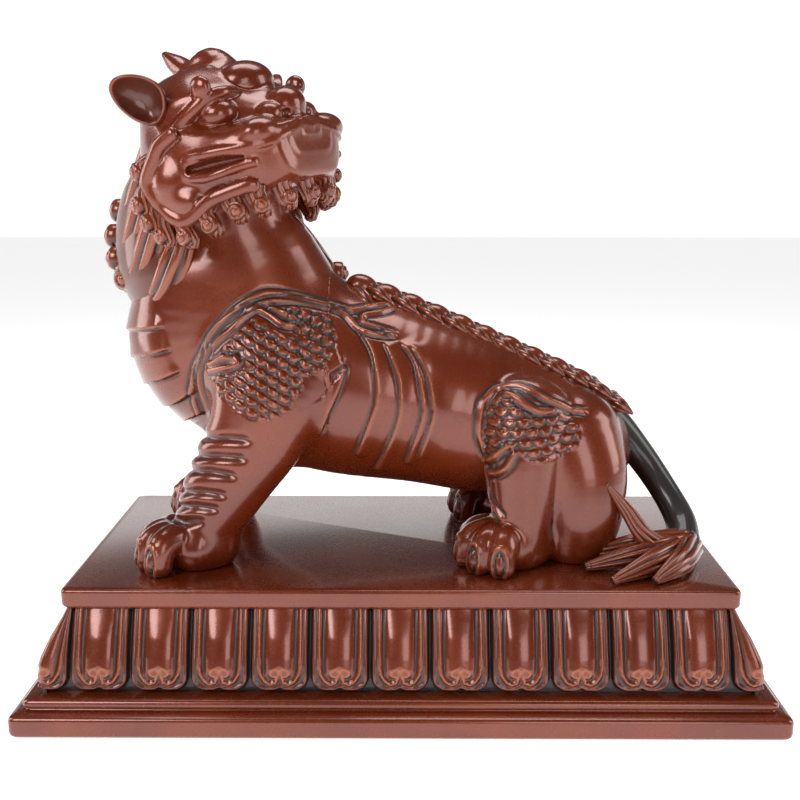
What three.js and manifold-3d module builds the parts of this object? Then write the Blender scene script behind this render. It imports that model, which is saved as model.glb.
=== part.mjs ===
// A diting, the one-horned guardian beast, in cast copper on a lotus plinth. Millimetres, +Z up.
// The beast faces -X and turns its head back over its left shoulder, towards -Y and +X.
// The origin is the centre of the plinth's underside.
import * as THREE from 'three';
import { mergeVertices } from 'three/addons/utils/BufferGeometryUtils.js';
import Module from 'manifold-3d';

// Plinth
const FOOT_LENGTH = 262.6;
const FOOT_WIDTH = 150;
const CORNER_RADIUS = 2.4;
const BAND_BASE_Z = 12;
const PLATE_BOTTOM_Z = 40;
const PLATE_TOP_Z = 47;
const PLATE_INSET = 15.4;
const LONG_SIDE_PETALS = 11;
const SHORT_SIDE_PETALS = 5;
const LONG_SIDE_PITCH = 20.4;
const SHORT_SIDE_PITCH = 22.6;

// Beast
const REST_GAP = 0.3;
const HEAD_AT = [-67.6, -5, 201.6];
const HEAD_TURN_DEG = 32.5;
const HEAD_TILT_DEG = 12;
const HEAD_ROLL_DEG = 4;
const CREST_KNOBS = 11;
const NEAR = -1;
const FAR = 1;

const wasm = await Module();
wasm.setup();

const degrees = THREE.MathUtils.degToRad;
const at = (p) => new THREE.Vector3(p[0], p[1], p[2]);
const ALONG_Y = at([0, 1, 0]);

// Turns the faces round where they point inwards, so that every closed skin encloses its volume.
function outward(geometry) {
  const p = geometry.attributes.position.array;
  const index = geometry.index.array;
  let volume = 0;
  for (let i = 0; i < index.length; i += 3) {
    const [a, b, c] = [0, 1, 2].map((k) => new THREE.Vector3().fromArray(p, 3 * index[i + k]));
    volume += a.dot(b.cross(c));
  }
  if (volume < 0) {
    for (let i = 0; i < index.length; i += 3) {
      [index[i + 1], index[i + 2]] = [index[i + 2], index[i + 1]];
    }
  }
  return geometry;
}

function closed(points, faces) {
  const geometry = new THREE.BufferGeometry();
  const positions = points.flatMap((v) => v.toArray());
  geometry.setAttribute('position', new THREE.Float32BufferAttribute(positions, 3));
  geometry.setIndex(faces);
  return outward(geometry);
}

// A closed skin over rings of points, with a fan to one point at each end.
function skin(rings, firstPoint, lastPoint) {
  const sides = rings[0].length;
  const points = [...rings.flat(), firstPoint, lastPoint];
  const first = points.length - 2;
  const last = points.length - 1;
  const faces = [];
  for (let k = 0; k < sides; k += 1) {
    const next = (k + 1) % sides;
    faces.push(first, next, k);
    for (let ring = 0; ring < rings.length - 1; ring += 1) {
      const a = ring * sides;
      const b = a + sides;
      faces.push(a + k, a + next, b + k);
      faces.push(a + next, b + next, b + k);
    }
    const top = (rings.length - 1) * sides;
    faces.push(top + k, top + next, last);
  }
  return closed(points, faces);
}

// A manifold solid from any closed geometry.
function solid(geometry) {
  const bare = geometry.clone();
  bare.deleteAttribute('normal');
  bare.deleteAttribute('uv');
  const merged = mergeVertices(bare, 1e-4);
  const vertProperties = Float32Array.from(merged.attributes.position.array);
  const triVerts = Uint32Array.from(merged.index.array);
  return new wasm.Manifold(new wasm.Mesh({ numProp: 3, vertProperties, triVerts }));
}

function join(geometries) {
  return geometries.map(solid).reduce((sum, next) => sum.add(next));
}

function cast(name, body, colour) {
  const { vertProperties, triVerts, numProp } = body.getMesh();
  const geometry = new THREE.BufferGeometry();
  const positions = new Float32Array((vertProperties.length / numProp) * 3);
  for (let i = 0; i < positions.length / 3; i += 1) {
    for (let k = 0; k < 3; k += 1) {
      positions[3 * i + k] = vertProperties[numProp * i + k];
    }
  }
  geometry.setAttribute('position', new THREE.BufferAttribute(positions, 3));
  geometry.setIndex(new THREE.BufferAttribute(Uint32Array.from(triVerts), 1));
  const copper = new THREE.MeshStandardMaterial({ color: colour, roughness: 0.34, metalness: 0.9 });
  const mesh = new THREE.Mesh(geometry, copper);
  mesh.name = name;
  return mesh;
}

const even = (count) => Array.from({ length: count + 1 }, (_, k) => k / count);

// A limb over stations [x, y, z, half width, half depth], its ends round or, where it is slight, just
// pointed. The half width lies along the given direction, and swell(t, angle) widens the ring at t
// along the limb, angle 0 being that side.
function limb(stations, { sides = 8, steps, across = ALONG_Y, swell = () => 1, round = true }) {
  const centre = new THREE.CatmullRomCurve3(stations.map(at), false, 'centripetal');
  const size = new THREE.CatmullRomCurve3(stations.map(([, , , a, b = a]) => at([a, b, 0])));
  const ring = (t, slide, shrink) => {
    const tangent = centre.getTangent(t);
    const wide = across.clone().addScaledVector(tangent, -across.dot(tangent)).normalize();
    const deep = tangent.clone().cross(wide);
    const { x, y } = size.getPoint(t);
    const middle = centre.getPoint(t).addScaledVector(tangent, slide * Math.min(x, y));
    return Array.from({ length: sides }, (_, k) => {
      const angle = (2 * Math.PI * k) / sides;
      const grow = shrink * swell(t, angle);
      return middle.clone()
        .addScaledVector(wide, x * grow * Math.cos(angle))
        .addScaledVector(deep, y * grow * Math.sin(angle));
    });
  };
  const tip = (t, slide) => {
    const { x, y } = size.getPoint(t);
    return centre.getPoint(t).addScaledVector(centre.getTangent(t), slide * Math.min(x, y));
  };
  const rings = steps.map((t) => ring(t, 0, 1));
  if (round) {
    rings.unshift(ring(0, -0.6, 0.75));
    rings.push(ring(1, 0.6, 0.75));
  }
  return skin(rings, tip(0, -1), tip(1, 1));
}

const WORLD = [at([1, 0, 0]), at([0, 1, 0]), at([0, 0, 1])];

// An ellipsoid with its half sizes along three directions.
function egg(centre, half, axes, [wide, high]) {
  const ball = new THREE.SphereGeometry(1, wide, high);
  ball.rotateX(Math.PI / 2);
  const [a, b, c] = axes.map((axis, k) => axis.clone().multiplyScalar(half[k]));
  ball.applyMatrix4(new THREE.Matrix4().makeBasis(a, b, c).setPosition(at(centre)));
  return outward(ball);
}

// A cone from a root to its tip.
function thorn(root, tip, radius) {
  const way = tip.clone().sub(root);
  const cone = new THREE.ConeGeometry(radius, way.length(), 3);
  cone.applyQuaternion(new THREE.Quaternion().setFromUnitVectors(ALONG_Y, way.clone().normalize()));
  const middle = root.clone().addScaledVector(way, 0.5);
  cone.translate(middle.x, middle.y, middle.z);
  return cone;
}

// Plinth: one casting, a stepped foot, a band of lotus petals and the top plate.

// How far the petals' faces stand in from the foot's edge: nearly upright at the foot, then a slope.
const BAND_PROFILE = [[12, 8.6], [19, 9.2], [25, 10.8], [31, 13.2], [36, 15.6], [41, 18.2]];

function bandInset(z) {
  const next = Math.max(1, BAND_PROFILE.findIndex(([height]) => height >= z));
  const [[z0, inset0], [z1, inset1]] = [BAND_PROFILE[next - 1], BAND_PROFILE[next]];
  return THREE.MathUtils.lerp(inset0, inset1, (z - z0) / (z1 - z0));
}

// A point of the plinth's side: u along the side from its middle, inset from the foot's edge, z up.
// Side 0 is the front, 1 the right end, 2 the back and 3 the left end. Its turn counts the sides
// passed on the way round, so that rings with different numbers of points can be joined.
function sidePoint(side, u, inset, z) {
  const length = side % 2 === 0 ? FOOT_LENGTH : FOOT_WIDTH;
  const half = (side % 2 === 0 ? FOOT_WIDTH : FOOT_LENGTH) / 2 - inset;
  const angle = (side * Math.PI) / 2;
  const x = u * Math.cos(angle) + half * Math.sin(angle);
  const y = u * Math.sin(angle) - half * Math.cos(angle);
  return { point: at([x, y, z]), turn: side + 0.5 + u / length };
}

// A ring of the mouldings: a rectangle whose corners are rounded in two steps.
function mouldingRing([inset, z]) {
  const ring = [];
  for (let side = 0; side < 4; side += 1) {
    const corner = (side % 2 === 0 ? FOOT_LENGTH : FOOT_WIDTH) / 2 - inset;
    const bevel = CORNER_RADIUS * (1 - Math.SQRT1_2);
    ring.push(sidePoint(side, bevel - corner, inset + bevel, z));
    ring.push(sidePoint(side, CORNER_RADIUS - corner, inset, z));
    ring.push(sidePoint(side, corner - CORNER_RADIUS, inset, z));
  }
  return ring;
}

// One petal as columns [u, out, foot height]: a broad lobe whose foot is round with a cusp in the
// middle, a smooth tongue swelling inside it, and the deep line that parts it from the next petal.
// A corner petal is folded round the corner, half of it on each side.
const PETAL_COLUMNS = [[-9.6, 0, 18], [-5, 0.7, 13.2], [0, 2, 15], [5, 0.7, 13.2], [9.6, 0, 18]];
const PETAL_HALF_WIDTH = 9.6;
const PARTING_DEPTH = 3;
const PARTING_FOOT_Z = 18;

const PETAL_LEVELS = [[0, 0], [26, 1], [PLATE_BOTTOM_Z - 0.4, 0.4]];

// A ring of the lotus band, at the petals' feet where level is 0, else at that height, with the
// given part of the tongue's swell.
function petalRing([level, fullness]) {
  const ring = [];
  const add = (side, u, out, foot) => {
    const z = Math.max(level, foot);
    const stand = out > 0 ? out * fullness : out;
    ring.push(sidePoint(side, u(z), bandInset(z) - stand, z));
  };
  for (let side = 0; side < 4; side += 1) {
    const long = side % 2 === 0;
    const count = long ? LONG_SIDE_PETALS : SHORT_SIDE_PETALS;
    const pitch = long ? LONG_SIDE_PITCH : SHORT_SIDE_PITCH;
    const length = long ? FOOT_LENGTH : FOOT_WIDTH;
    const lastParting = (count * pitch) / 2;
    const room = (z) => length / 2 - bandInset(z) - lastParting - (pitch / 2 - PETAL_HALF_WIDTH);
    const fold = (z) => length / 2 - bandInset(z);
    const half = PETAL_COLUMNS.filter(([u]) => u > 0);
    add(side, (z) => -fold(z), 0, PETAL_COLUMNS[2][2]);
    half.forEach(([u, out, foot]) => {
      add(side, (z) => (room(z) * u) / PETAL_HALF_WIDTH - fold(z), out, foot);
    });
    for (let k = 0; k < count; k += 1) {
      const middle = (k - (count - 1) / 2) * pitch;
      add(side, () => middle - pitch / 2, -PARTING_DEPTH, PARTING_FOOT_Z);
      PETAL_COLUMNS.forEach(([u, out, foot]) => add(side, () => middle + u, out, foot));
    }
    add(side, () => lastParting, -PARTING_DEPTH, PARTING_FOOT_Z);
    half.reverse().forEach(([u, out, foot]) => {
      add(side, (z) => fold(z) - (room(z) * u) / PETAL_HALF_WIDTH, out, foot);
    });
  }
  return ring;
}

// The ledge that the petals' feet stand on, with one point under each parting.
const LEDGE = [10.4, BAND_BASE_Z + 0.2];

function ledgeRing([inset, z]) {
  const ring = [];
  for (let side = 0; side < 4; side += 1) {
    const long = side % 2 === 0;
    const count = long ? LONG_SIDE_PETALS : SHORT_SIDE_PETALS;
    const pitch = long ? LONG_SIDE_PITCH : SHORT_SIDE_PITCH;
    const corner = (long ? FOOT_LENGTH : FOOT_WIDTH) / 2 - inset;
    ring.push(sidePoint(side, -corner, inset, z));
    for (let k = 0; k <= count; k += 1) {
      ring.push(sidePoint(side, (k - count / 2) * pitch, inset, z));
    }
  }
  return ring;
}

// Joins rings that may differ in their number of points, always stepping to the point that comes
// next on the way round, and closes the first and the last ring with a fan.
function stack(rings) {
  const points = rings.flatMap((ring) => ring.map(({ point }) => point));
  const faces = [];
  const turnOf = (ring, k) => ring[k % ring.length].turn + 4 * Math.floor(k / ring.length);
  let start = 0;
  for (let r = 0; r < rings.length - 1; r += 1) {
    const [low, high] = [rings[r], rings[r + 1]];
    const highStart = start + low.length;
    let [i, j] = [0, 0];
    while (i < low.length || j < high.length) {
      const corners = [start + (i % low.length), highStart + (j % high.length)];
      if (j >= high.length || (i < low.length && turnOf(low, i + 1) <= turnOf(high, j + 1))) {
        i += 1;
        faces.push(corners[0], start + (i % low.length), corners[1]);
      } else {
        j += 1;
        faces.push(corners[0], highStart + (j % high.length), corners[1]);
      }
    }
    start = highStart;
  }
  const [first, last] = [rings[0], rings.at(-1)];
  for (let k = 1; k < first.length - 1; k += 1) {
    faces.push(0, k + 1, k);
  }
  for (let k = 1; k < last.length - 1; k += 1) {
    faces.push(start, start + k, start + k + 1);
  }
  return closed(points, faces);
}

function plinth() {
  const foot = [[1.2, 0], [0, 1.4], [0, 6.2], [1, 7.5], [4, 8.3], [4.3, 11.2], [5.2, BAND_BASE_Z]];
  const plate = [
    [PLATE_INSET + 1, PLATE_BOTTOM_Z],
    [PLATE_INSET, PLATE_BOTTOM_Z + 1],
    [PLATE_INSET, PLATE_TOP_Z - 1.4],
    [PLATE_INSET + 1.4, PLATE_TOP_Z],
  ];
  const petals = PETAL_LEVELS.map(petalRing);
  return stack([...foot.map(mouldingRing), ledgeRing(LEDGE), ...petals, ...plate.map(mouldingRing)]);
}

// Beast: body, legs, paws, tail, crest, mane and head, cast in one.
// Body stations are [x, y, z, half width, half depth], from front to rear or from top to bottom, with
// y on the far side.

const TRUNK = [
  [-44, 0, 112, 31, 33.5], [-20, 0, 108, 32.5, 35], [7, 0, 102, 31.5, 32], [30, 0, 95.5, 29, 29.5],
  [53, 0, 88, 26, 25], [67, 0, 83.5, 21, 20.5],
];
const NECK = [
  [-62, -4, 188, 22, 20], [-60.5, -3, 165, 21.5, 20.5], [-57, -2, 149.7, 24, 27],
  [-52, -1, 134.7, 28, 31], [-44, 0, 120, 30, 32],
];
const BREAST = [
  [-73, -2, 143, 22, 24], [-72.5, 0, 124, 25, 27], [-61, 0, 108, 24, 22], [-52, 0, 92, 20, 17],
];
const FORELEG = [
  [-46, 20, 119, 20, 25], [-47.3, 27, 106.3, 16, 20.5], [-51.6, 30, 94.2, 13, 17.6],
  [-58.6, 31, 82.7, 12, 15.7], [-65, 31, 71.6, 11.5, 14], [-70, 31, 61, 11, 12],
  [-73, 31, 54, 11.5, 12],
];
const HINDLEG = [
  [45.7, 22, 100.4, 14, 17], [44, 27, 88.4, 13, 14.5], [43.7, 30, 74.4, 11, 11.8],
  [43.2, 31, 61.4, 10.5, 10.8], [42, 31, 55, 11, 11],
];
const HAUNCH = [
  [61, 16, 90, 18, 20], [65.5, 22, 77.6, 15, 17], [66, 24, 65, 14, 15], [64.5, 24, 54.3, 12, 13],
];
const LEG_FOLDS = 5;
const LEG_FOLD_DEPTH = 0.08;
const [FOLDS_START, FOLDS_END] = [0.38, 0.95];

const flip = (stations, side) => stations.map(([x, y, z, ...half]) => [x, side * y, z, ...half]);

// The forelegs' front is gathered into rounded folds that fade out towards the sides.
function foldedLeg(t, angle) {
  const front = Math.max(0, -Math.sin(angle));
  const wave = Math.cos((2 * Math.PI * LEG_FOLDS * (t - FOLDS_START)) / (FOLDS_END - FOLDS_START));
  return t >= FOLDS_START && t <= FOLDS_END ? 1 + LEG_FOLD_DEPTH * front * (wave - 0.3) : 1;
}

function legSteps() {
  const steps = [0, FOLDS_START / 2];
  for (let k = 0; k <= 2 * LEG_FOLDS; k += 1) {
    steps.push(THREE.MathUtils.lerp(FOLDS_START, FOLDS_END, k / (2 * LEG_FOLDS)));
  }
  return steps;
}

function bodyMasses() {
  const masses = [
    limb(TRUNK, { sides: 12, steps: even(5) }),
    limb(NECK, { sides: 9, steps: even(3) }),
    limb(BREAST, { sides: 8, steps: even(2) }),
  ];
  for (const side of [NEAR, FAR]) {
    masses.push(limb(flip(FORELEG, side), { sides: 7, steps: legSteps(), swell: foldedLeg }));
    masses.push(limb(flip(HINDLEG, side), { sides: 7, steps: even(4) }));
    masses.push(limb(flip(HAUNCH, side), { sides: 7, steps: even(2) }));
  }
  return masses;
}

// A paw stands on the plate: four toes spread as a fan, humped at the knuckles, in front of a heel.
// Turns are in degrees from straight ahead, growing outwards.
const FOREPAW = { centre: [-75, 33], toes: [-40, -10, 21, 52], reach: 20.5, heel: [150, 205, 260] };
const HINDPAW = { centre: [39, 31], toes: [-32, 8, 44, 76], reach: 20, heel: [158, 205, 258] };
const HEEL_REACH = 17;
const CLEFT_REACH = 0.72;
const PAW_LEVELS = [[-3, 0.92], [5, 1], [13.4, 0.8]];

function paw({ centre: [x, y], toes, reach, heel }, side) {
  const columns = [[toes[0] - 24, reach * CLEFT_REACH]];
  toes.forEach((turn, k) => {
    const next = toes[k + 1] ?? turn + 48;
    columns.push([turn, reach], [(turn + next) / 2, reach * CLEFT_REACH]);
  });
  heel.forEach((turn) => columns.push([turn, HEEL_REACH]));
  const rings = PAW_LEVELS.map(([height, spread]) => columns.map(([turn, length]) => {
    const sink = length < HEEL_REACH && height > 5 ? 3 : 0;
    const forward = -Math.cos(degrees(turn)) * length * spread;
    const outwards = Math.sin(degrees(turn)) * length * spread;
    return at([x + forward, side * (y + outwards), PLATE_TOP_Z + height - sink]);
  }));
  return skin(rings, at([x, side * y, PLATE_TOP_Z - 3]), at([x, side * y, PLATE_TOP_Z + 15.5]));
}

// Crest: a row of overlapping knobs down the spine, with pointed flames combed down from them. A
// flame's root and tip are measured from the middle of its knob.
const SPINE = [[-19, 0, 149.3], [5.9, 0, 139.5], [37, 0, 126], [67, 0, 112], [79, 0, 103]];
const KNOB_SWELL = 0.34;
const CREST_SIZE = [4.6, 5];
const CREST_SINK = 4.6;
const FLAME_ROOT = [-2, 2, -5];
const FLAME_TIP = [8, 12.5, -12];
const FLAME_RADIUS = 3.6;

function crest() {
  const spine = new THREE.CatmullRomCurve3(SPINE.map(at), false, 'centripetal');
  const ridge = spine.getSpacedPoints(8).map(({ x, y, z }) => [x, y, z - CREST_SINK, ...CREST_SIZE]);
  const knobs = (t) => 1 + KNOB_SWELL * (Math.abs(Math.sin(Math.PI * CREST_KNOBS * t)) - 0.6);
  const pieces = [limb(ridge, { sides: 5, steps: even(2 * CREST_KNOBS), swell: knobs, round: false })];
  for (let k = 0; k < CREST_KNOBS; k += 1) {
    const middle = spine.getPointAt((k + 0.5) / CREST_KNOBS);
    for (const side of [NEAR, FAR]) {
      const off = ([x, y, z]) => middle.clone().add(at([x, side * y, z]));
      pieces.push(thorn(off(FLAME_ROOT), off(FLAME_TIP), FLAME_RADIUS));
    }
  }
  return pieces;
}

// Shoulder and hip: raised bands that frame the scales, and the ribs that hang behind the shoulder.
const SHOULDER_BAND = [
  [-73, 19.5, 97], [-73, 21.5, 109], [-70, 25, 123], [-63, 26.5, 133.5], [-52, 26.5, 141.5],
  [-38, 23.5, 143.2], [-22, 15, 137.5], [-2, 4, 134.5],
];
const HIP_BAND = [
  [29.5, 28, 80], [28, 28, 92], [28.5, 28, 103], [33.5, 25.5, 109.5], [44, 29, 110.5],
  [55, 30.5, 105.5], [65, 27, 102],
];
const RIBS = [
  [[-15, 21.5, 131], [-9, 30, 115], [-10, 31, 102], [-15, 26, 88]],
  [[-7, 22, 127], [-1, 30.3, 111], [-5, 30.3, 97], [-17, 22.5, 82]],
  [[-1, 21.5, 127], [8, 29.5, 112], [7, 30.3, 98], [1, 22.5, 81]],
];
const BAND_HALF = 2.7;
const RIB_HALF = 3.9;

function bands() {
  const frames = [[SHOULDER_BAND, 6, BAND_HALF], [HIP_BAND, 5, BAND_HALF]];
  const lines = [...frames, ...RIBS.map((rib) => [rib, 2, RIB_HALF])];
  return [NEAR, FAR].flatMap((side) => lines.map(([line, steps, half]) => {
    const stations = line.map(([x, y, z]) => [x, side * y, z, half]);
    return limb(stations, { sides: 3, steps: even(steps), across: at([0, side, 0.35]), round: false });
  }));
}

// Curled tufts run down the back of each foreleg.
const TUFTS = [[-36, 35, 95], [-70, 41, 61]];
const TUFT_COUNT = 6;
const TUFT_HALF = [4.4, 3.6, 4.4];

function tufts() {
  const pieces = [];
  for (const side of [NEAR, FAR]) {
    for (let k = 0; k < TUFT_COUNT; k += 1) {
      const [x, y, z] = at(TUFTS[0]).lerp(at(TUFTS[1]), k / (TUFT_COUNT - 1)).toArray();
      pieces.push(egg([x, side * y, z], TUFT_HALF, WORLD, [5, 3]));
    }
  }
  return pieces;
}

// Tail: it comes down behind the haunches and ends in tufts that lie fanned out on the plate.
const TAIL = [
  [72, 0, 97, 9, 8], [80.5, 0, 92.5, 6.6, 6.6], [91, -2, 80.3, 5.6, 5.6],
  [99.3, -8, 68.2, 5.2, 5.2], [104, -16, 58.8, 5.6, 5.6], [103.4, -25, 52.5, 6.6, 6.2],
];
const TAIL_TUFTS = [
  [[104, -26, 53, 6], [84, -31, 53.5, 4.6], [64, -31, 50, 1.6]],
  [[104, -27, 52, 6], [86, -37, 52.5, 5], [65, -42, 49.5, 1.6]],
  [[104, -28, 52, 6], [90, -43, 52, 5], [72.5, -55, 49, 1.6]],
  [[105, -28, 52, 6], [98, -44, 52, 5], [87, -55, 49, 1.6]],
  [[94, -31, 52, 5], [87, -35, 58.6, 3.6], [80.6, -35, 67.8, 2.6], [72.8, -35.5, 78, 1]],
];

function tail() {
  const tuftLimbs = TAIL_TUFTS.map((tuft) => limb(tuft, { sides: 4, steps: even(3), round: false }));
  return [limb(TAIL, { sides: 6, steps: even(6), round: false }), ...tuftLimbs];
}

// Head: its own axes are forwards to the snout, sideways to the near ear, and up.
const turn = degrees(HEAD_TURN_DEG);
const tilt = degrees(HEAD_TILT_DEG);
const roll = degrees(HEAD_ROLL_DEG);
const FORWARDS = at([Math.cos(turn) * Math.cos(tilt), -Math.sin(turn) * Math.cos(tilt), Math.sin(tilt)]);
const level = at([-Math.sin(turn), -Math.cos(turn), 0]);
const upright = level.clone().cross(FORWARDS);
const SIDEWAYS = level.clone().multiplyScalar(Math.cos(roll)).addScaledVector(upright, -Math.sin(roll));
const UPWARDS = upright.clone().multiplyScalar(Math.cos(roll)).addScaledVector(level, Math.sin(roll));
const HEAD_AXES = [FORWARDS, SIDEWAYS, UPWARDS];

// A point given forwards, sideways and up from the middle of the head.
function onHead([forwards, sideways, up]) {
  return at(HEAD_AT)
    .addScaledVector(FORWARDS, forwards)
    .addScaledVector(SIDEWAYS, sideways)
    .addScaledVector(UPWARDS, up)
    .toArray();
}

const headEgg = (centre, half, detail) => egg(onHead(centre), half, HEAD_AXES, detail);

function headLimb(stations, options) {
  return limb(stations.map(([f, s, u, ...half]) => [...onHead([f, s, u]), ...half]), options);
}

const bothSides = (build) => [1, -1].map(build);

// Skull, cheeks, muzzle and jaws are one block. Each section is forwards, then points [sideways, up]
// from the middle of the crown round the near side to the middle of the underside. The far side is
// cast a little narrower towards the snout.
const FAR_CHEEK = 0.92;
const FAR_BEARD = 0.84;
const SNOUT_FROM = 30;
const HEAD_SECTIONS = [
  [-20, [0, 9], [8, 8], [14, 3], [16, -4], [16, -11], [12, -18], [6, -21], [0, -22]],
  [-11, [0, 19], [13, 17], [22, 10], [26, 0], [29, -11], [28, -21], [16, -28], [0, -28]],
  [0, [0, 21], [16, 18.5], [27, 11], [29.5, 2], [34, -8], [34.5, -20], [26, -31], [0, -30]],
  [10, [0, 20], [15, 18], [28, 9], [29.5, 1], [32.5, -5], [33, -20], [26, -31], [0, -29]],
  [19, [0, 16], [12, 13], [24, 8], [24, -1], [30, -6], [31, -18], [24, -28.5], [0, -28]],
  [26, [0, 7], [10, 6], [16, 2], [19, -3], [27.5, -6.5], [29.5, -15], [22, -28], [0, -27.5]],
  [34, [0, 2], [7, 1], [14, -4], [20, -4.5], [25.5, -9], [25.5, -17], [19, -27], [0, -27]],
  [40, [0, -5], [6, -6], [11, -6.5], [15.5, -7.5], [18.5, -11], [18, -18], [13, -24.5], [0, -25]],
];

function headBlock() {
  const rings = HEAD_SECTIONS.map(([forwards, ...points]) => {
    const narrow = forwards > SNOUT_FROM ? FAR_CHEEK : 1;
    const mirrored = points.slice(1, -1).reverse().map(([sideways, up]) => [-sideways * narrow, up]);
    return [...points, ...mirrored].map(([sideways, up]) => at(onHead([forwards, sideways, up])));
  });
  return skin(rings, at(onHead([-24, 0, -7])), at(onHead([42.5, 0, -15])));
}

const HORN = [
  [12.5, 0, 16.5, 7.5, 4.6], [6, 0, 20.8, 6.4, 6], [-3, 0, 20.4, 5.6, 4.2], [-9.5, 0, 25, 4, 3.4],
  [-14, 0, 29.6, 1.8, 1.4],
];
const BROW = [
  [10, 29, -1, 2.6], [16, 28, 2.5, 3], [21, 25, 5.6, 3], [25, 18, 6.6, 2.8], [24, 12, 7.6, 2.4],
];
const UPPER_LIP = [
  [10.2, 31.6, -15.8], [14, 31.8, -12.6], [26.4, 29.8, -13.2], [34.5, 24.6, -14.2],
  [38.6, 16.6, -12.8], [40.6, 8, -11], [40.5, 0, -9.8],
];
const LOWER_LIP = [
  [10.2, 31.6, -15.8], [13, 31.8, -18.8], [25, 30, -19.2], [34, 25, -19], [38.2, 16.5, -17.6],
  [40.4, 8, -17], [41, 0, -17],
];
const JAW_RIM = [
  [14, 32, -0.5], [5, 34.5, -5], [-4, 35.5, -13], [-5.4, 35, -21.6], [-1, 33.5, -28.6],
  [4.5, 32.5, -31.4], [10.5, 31.5, -30.4], [18, 30.5, -26.8], [29.9, 25, -26],
].map((p) => [...p, 2.8]);
const BEARD = [
  [-6.4, 32.5, -12], [-8.4, 34, -23], [-2.4, 32, -33], [6.5, 31, -36.2], [17, 28.5, -34],
  [27, 22.5, -32.2], [33, 12.5, -31], [35, 0, -30.6],
];
const EAR = {
  centre: [2.2, 35.5, 10.8],
  tip: [-0.6, 42.5, 18.6],
  half: [11.6, 8.2, 4],
  hollow: [8.6, 6, 4],
};

// One strand that runs from the near side over the middle to the far side.
function strand(line, half, steps) {
  const across = [...line, ...line.slice(0, -1).reverse().map(([f, s, u]) => [f, -s, u])];
  const stations = across.map((p) => [...p, ...half]);
  return headLimb(stations, { sides: 3, steps: even(steps), across: UPWARDS, round: false });
}

// A ridge on each side of the face, its edge turned outwards.
function pairedRidge(line, steps) {
  return bothSides((side) => {
    const stations = line.map(([f, s, ...rest]) => [f, side * s, ...rest]);
    const across = SIDEWAYS.clone().multiplyScalar(side);
    return headLimb(stations, { sides: 3, steps: even(steps), across, round: false });
  });
}

function headMasses() {
  return [
    headBlock(),
    headEgg([18, 0, 11], [10, 11, 7.6], [8, 4]),
    headEgg([33, 0, -0.2], [7, 8.4, 6.4], [7, 4]),
    headLimb(HORN, { sides: 6, steps: even(4), across: SIDEWAYS, round: false }),
    strand(UPPER_LIP, [2.2, 2.2], 8),
    strand(LOWER_LIP, [2.2, 2.2], 7),
    ...pairedRidge(BROW, 3),
    ...pairedRidge(JAW_RIM, 7),
    ...bothSides((s) => headEgg([32.5, 9.5 * s, -3], [4.6, 5.4, 4.2], [6, 3])),
    ...bothSides((s) => headEgg([20.5, 20 * s, 0.2], [6.4, 6.4, 5.2], [6, 4])),
    ...bothSides((s) => headEgg([20, 24.5 * s, 9.6], [4.4, 3.4, 4.2], [5, 3])),
    ...bothSides((s) => thorn(at(onHead([33.5, 23.6 * s, -16])), at(onHead([34, 24.6 * s, -23])), 1.7)),
  ];
}

// The gap between the lips, cut into both cheeks.
const MOUTH_AT = [24, 31, -16.1];
const MOUTH_SIZE = [22, 6, 2.2];

function headHollows() {
  return bothSides((side) => {
    const slot = new THREE.BoxGeometry(...MOUTH_SIZE);
    const middle = at(onHead([MOUTH_AT[0], side * MOUTH_AT[1], MOUTH_AT[2]]));
    slot.applyMatrix4(new THREE.Matrix4().makeBasis(...HEAD_AXES).setPosition(middle));
    return outward(slot);
  });
}

// The ears are cupped leaves that stand out sideways and open forwards.
const CUP_OUT = 3.4;
function ear(side) {
  const mirrorTo = ([f, s, u]) => at(onHead([f, side * s, u]));
  const length = mirrorTo(EAR.tip).sub(mirrorTo(EAR.centre)).normalize();
  const facing = mirrorTo([1, 0.2, 0.1]).sub(mirrorTo([0, 0, 0]));
  facing.addScaledVector(length, -facing.dot(length)).normalize();
  const width = facing.clone().cross(length);
  const axes = [length, width, facing];
  const middle = mirrorTo(EAR.centre);
  const leaf = egg(middle.toArray(), EAR.half, axes, [8, 4]);
  const cup = egg(middle.addScaledVector(facing, CUP_OUT).toArray(), EAR.hollow, axes, [7, 4]);
  return solid(leaf).subtract(solid(cup));
}

// The beard's curls hang under the jaw, and the mane's locks fall from the back of the head down
// the far side of the neck, each ending in a round curl.
const CURL = 4.2;
const LOCK_HALF = [3.2, 3.8, 4.4];
const MANE = [
  [-68.5, 6, 197, 24, 20], [-74, 8, 183, 26, 22.5], [-80, 6, 168, 25, 25.5],
  [-79, 2, 152, 25, 25.5], [-74, 0, 142, 20, 21],
];
const NAPE = [
  [-66, 8, 180, 20, 22], [-58, 10, 165, 21, 18.5], [-47, 9, 152, 17, 17.5], [-34, 4, 145, 9, 12],
];
const LOCKS = [
  [[-88, -18, 166], [-84, -17, 153], [-93.5, -10, 143.5]],
  [[-90, -12, 172], [-91, -10, 157], [-102, -2, 147.8]],
  [[-92, -6, 178], [-96, -3, 164], [-107, 6, 154.5]],
  [[-94, 0, 184], [-99, 4, 172], [-108.3, 10, 162.5]],
  [[-92, 6, 190], [-98, 9, 179], [-107, 14, 171.5]],
];
const LOCK_ENDS = [
  [-94, 23, 157], [-79, 27, 148], [-60, 27, 148], [-42, 23, 150], [-26, 8, 147.5],
];

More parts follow.
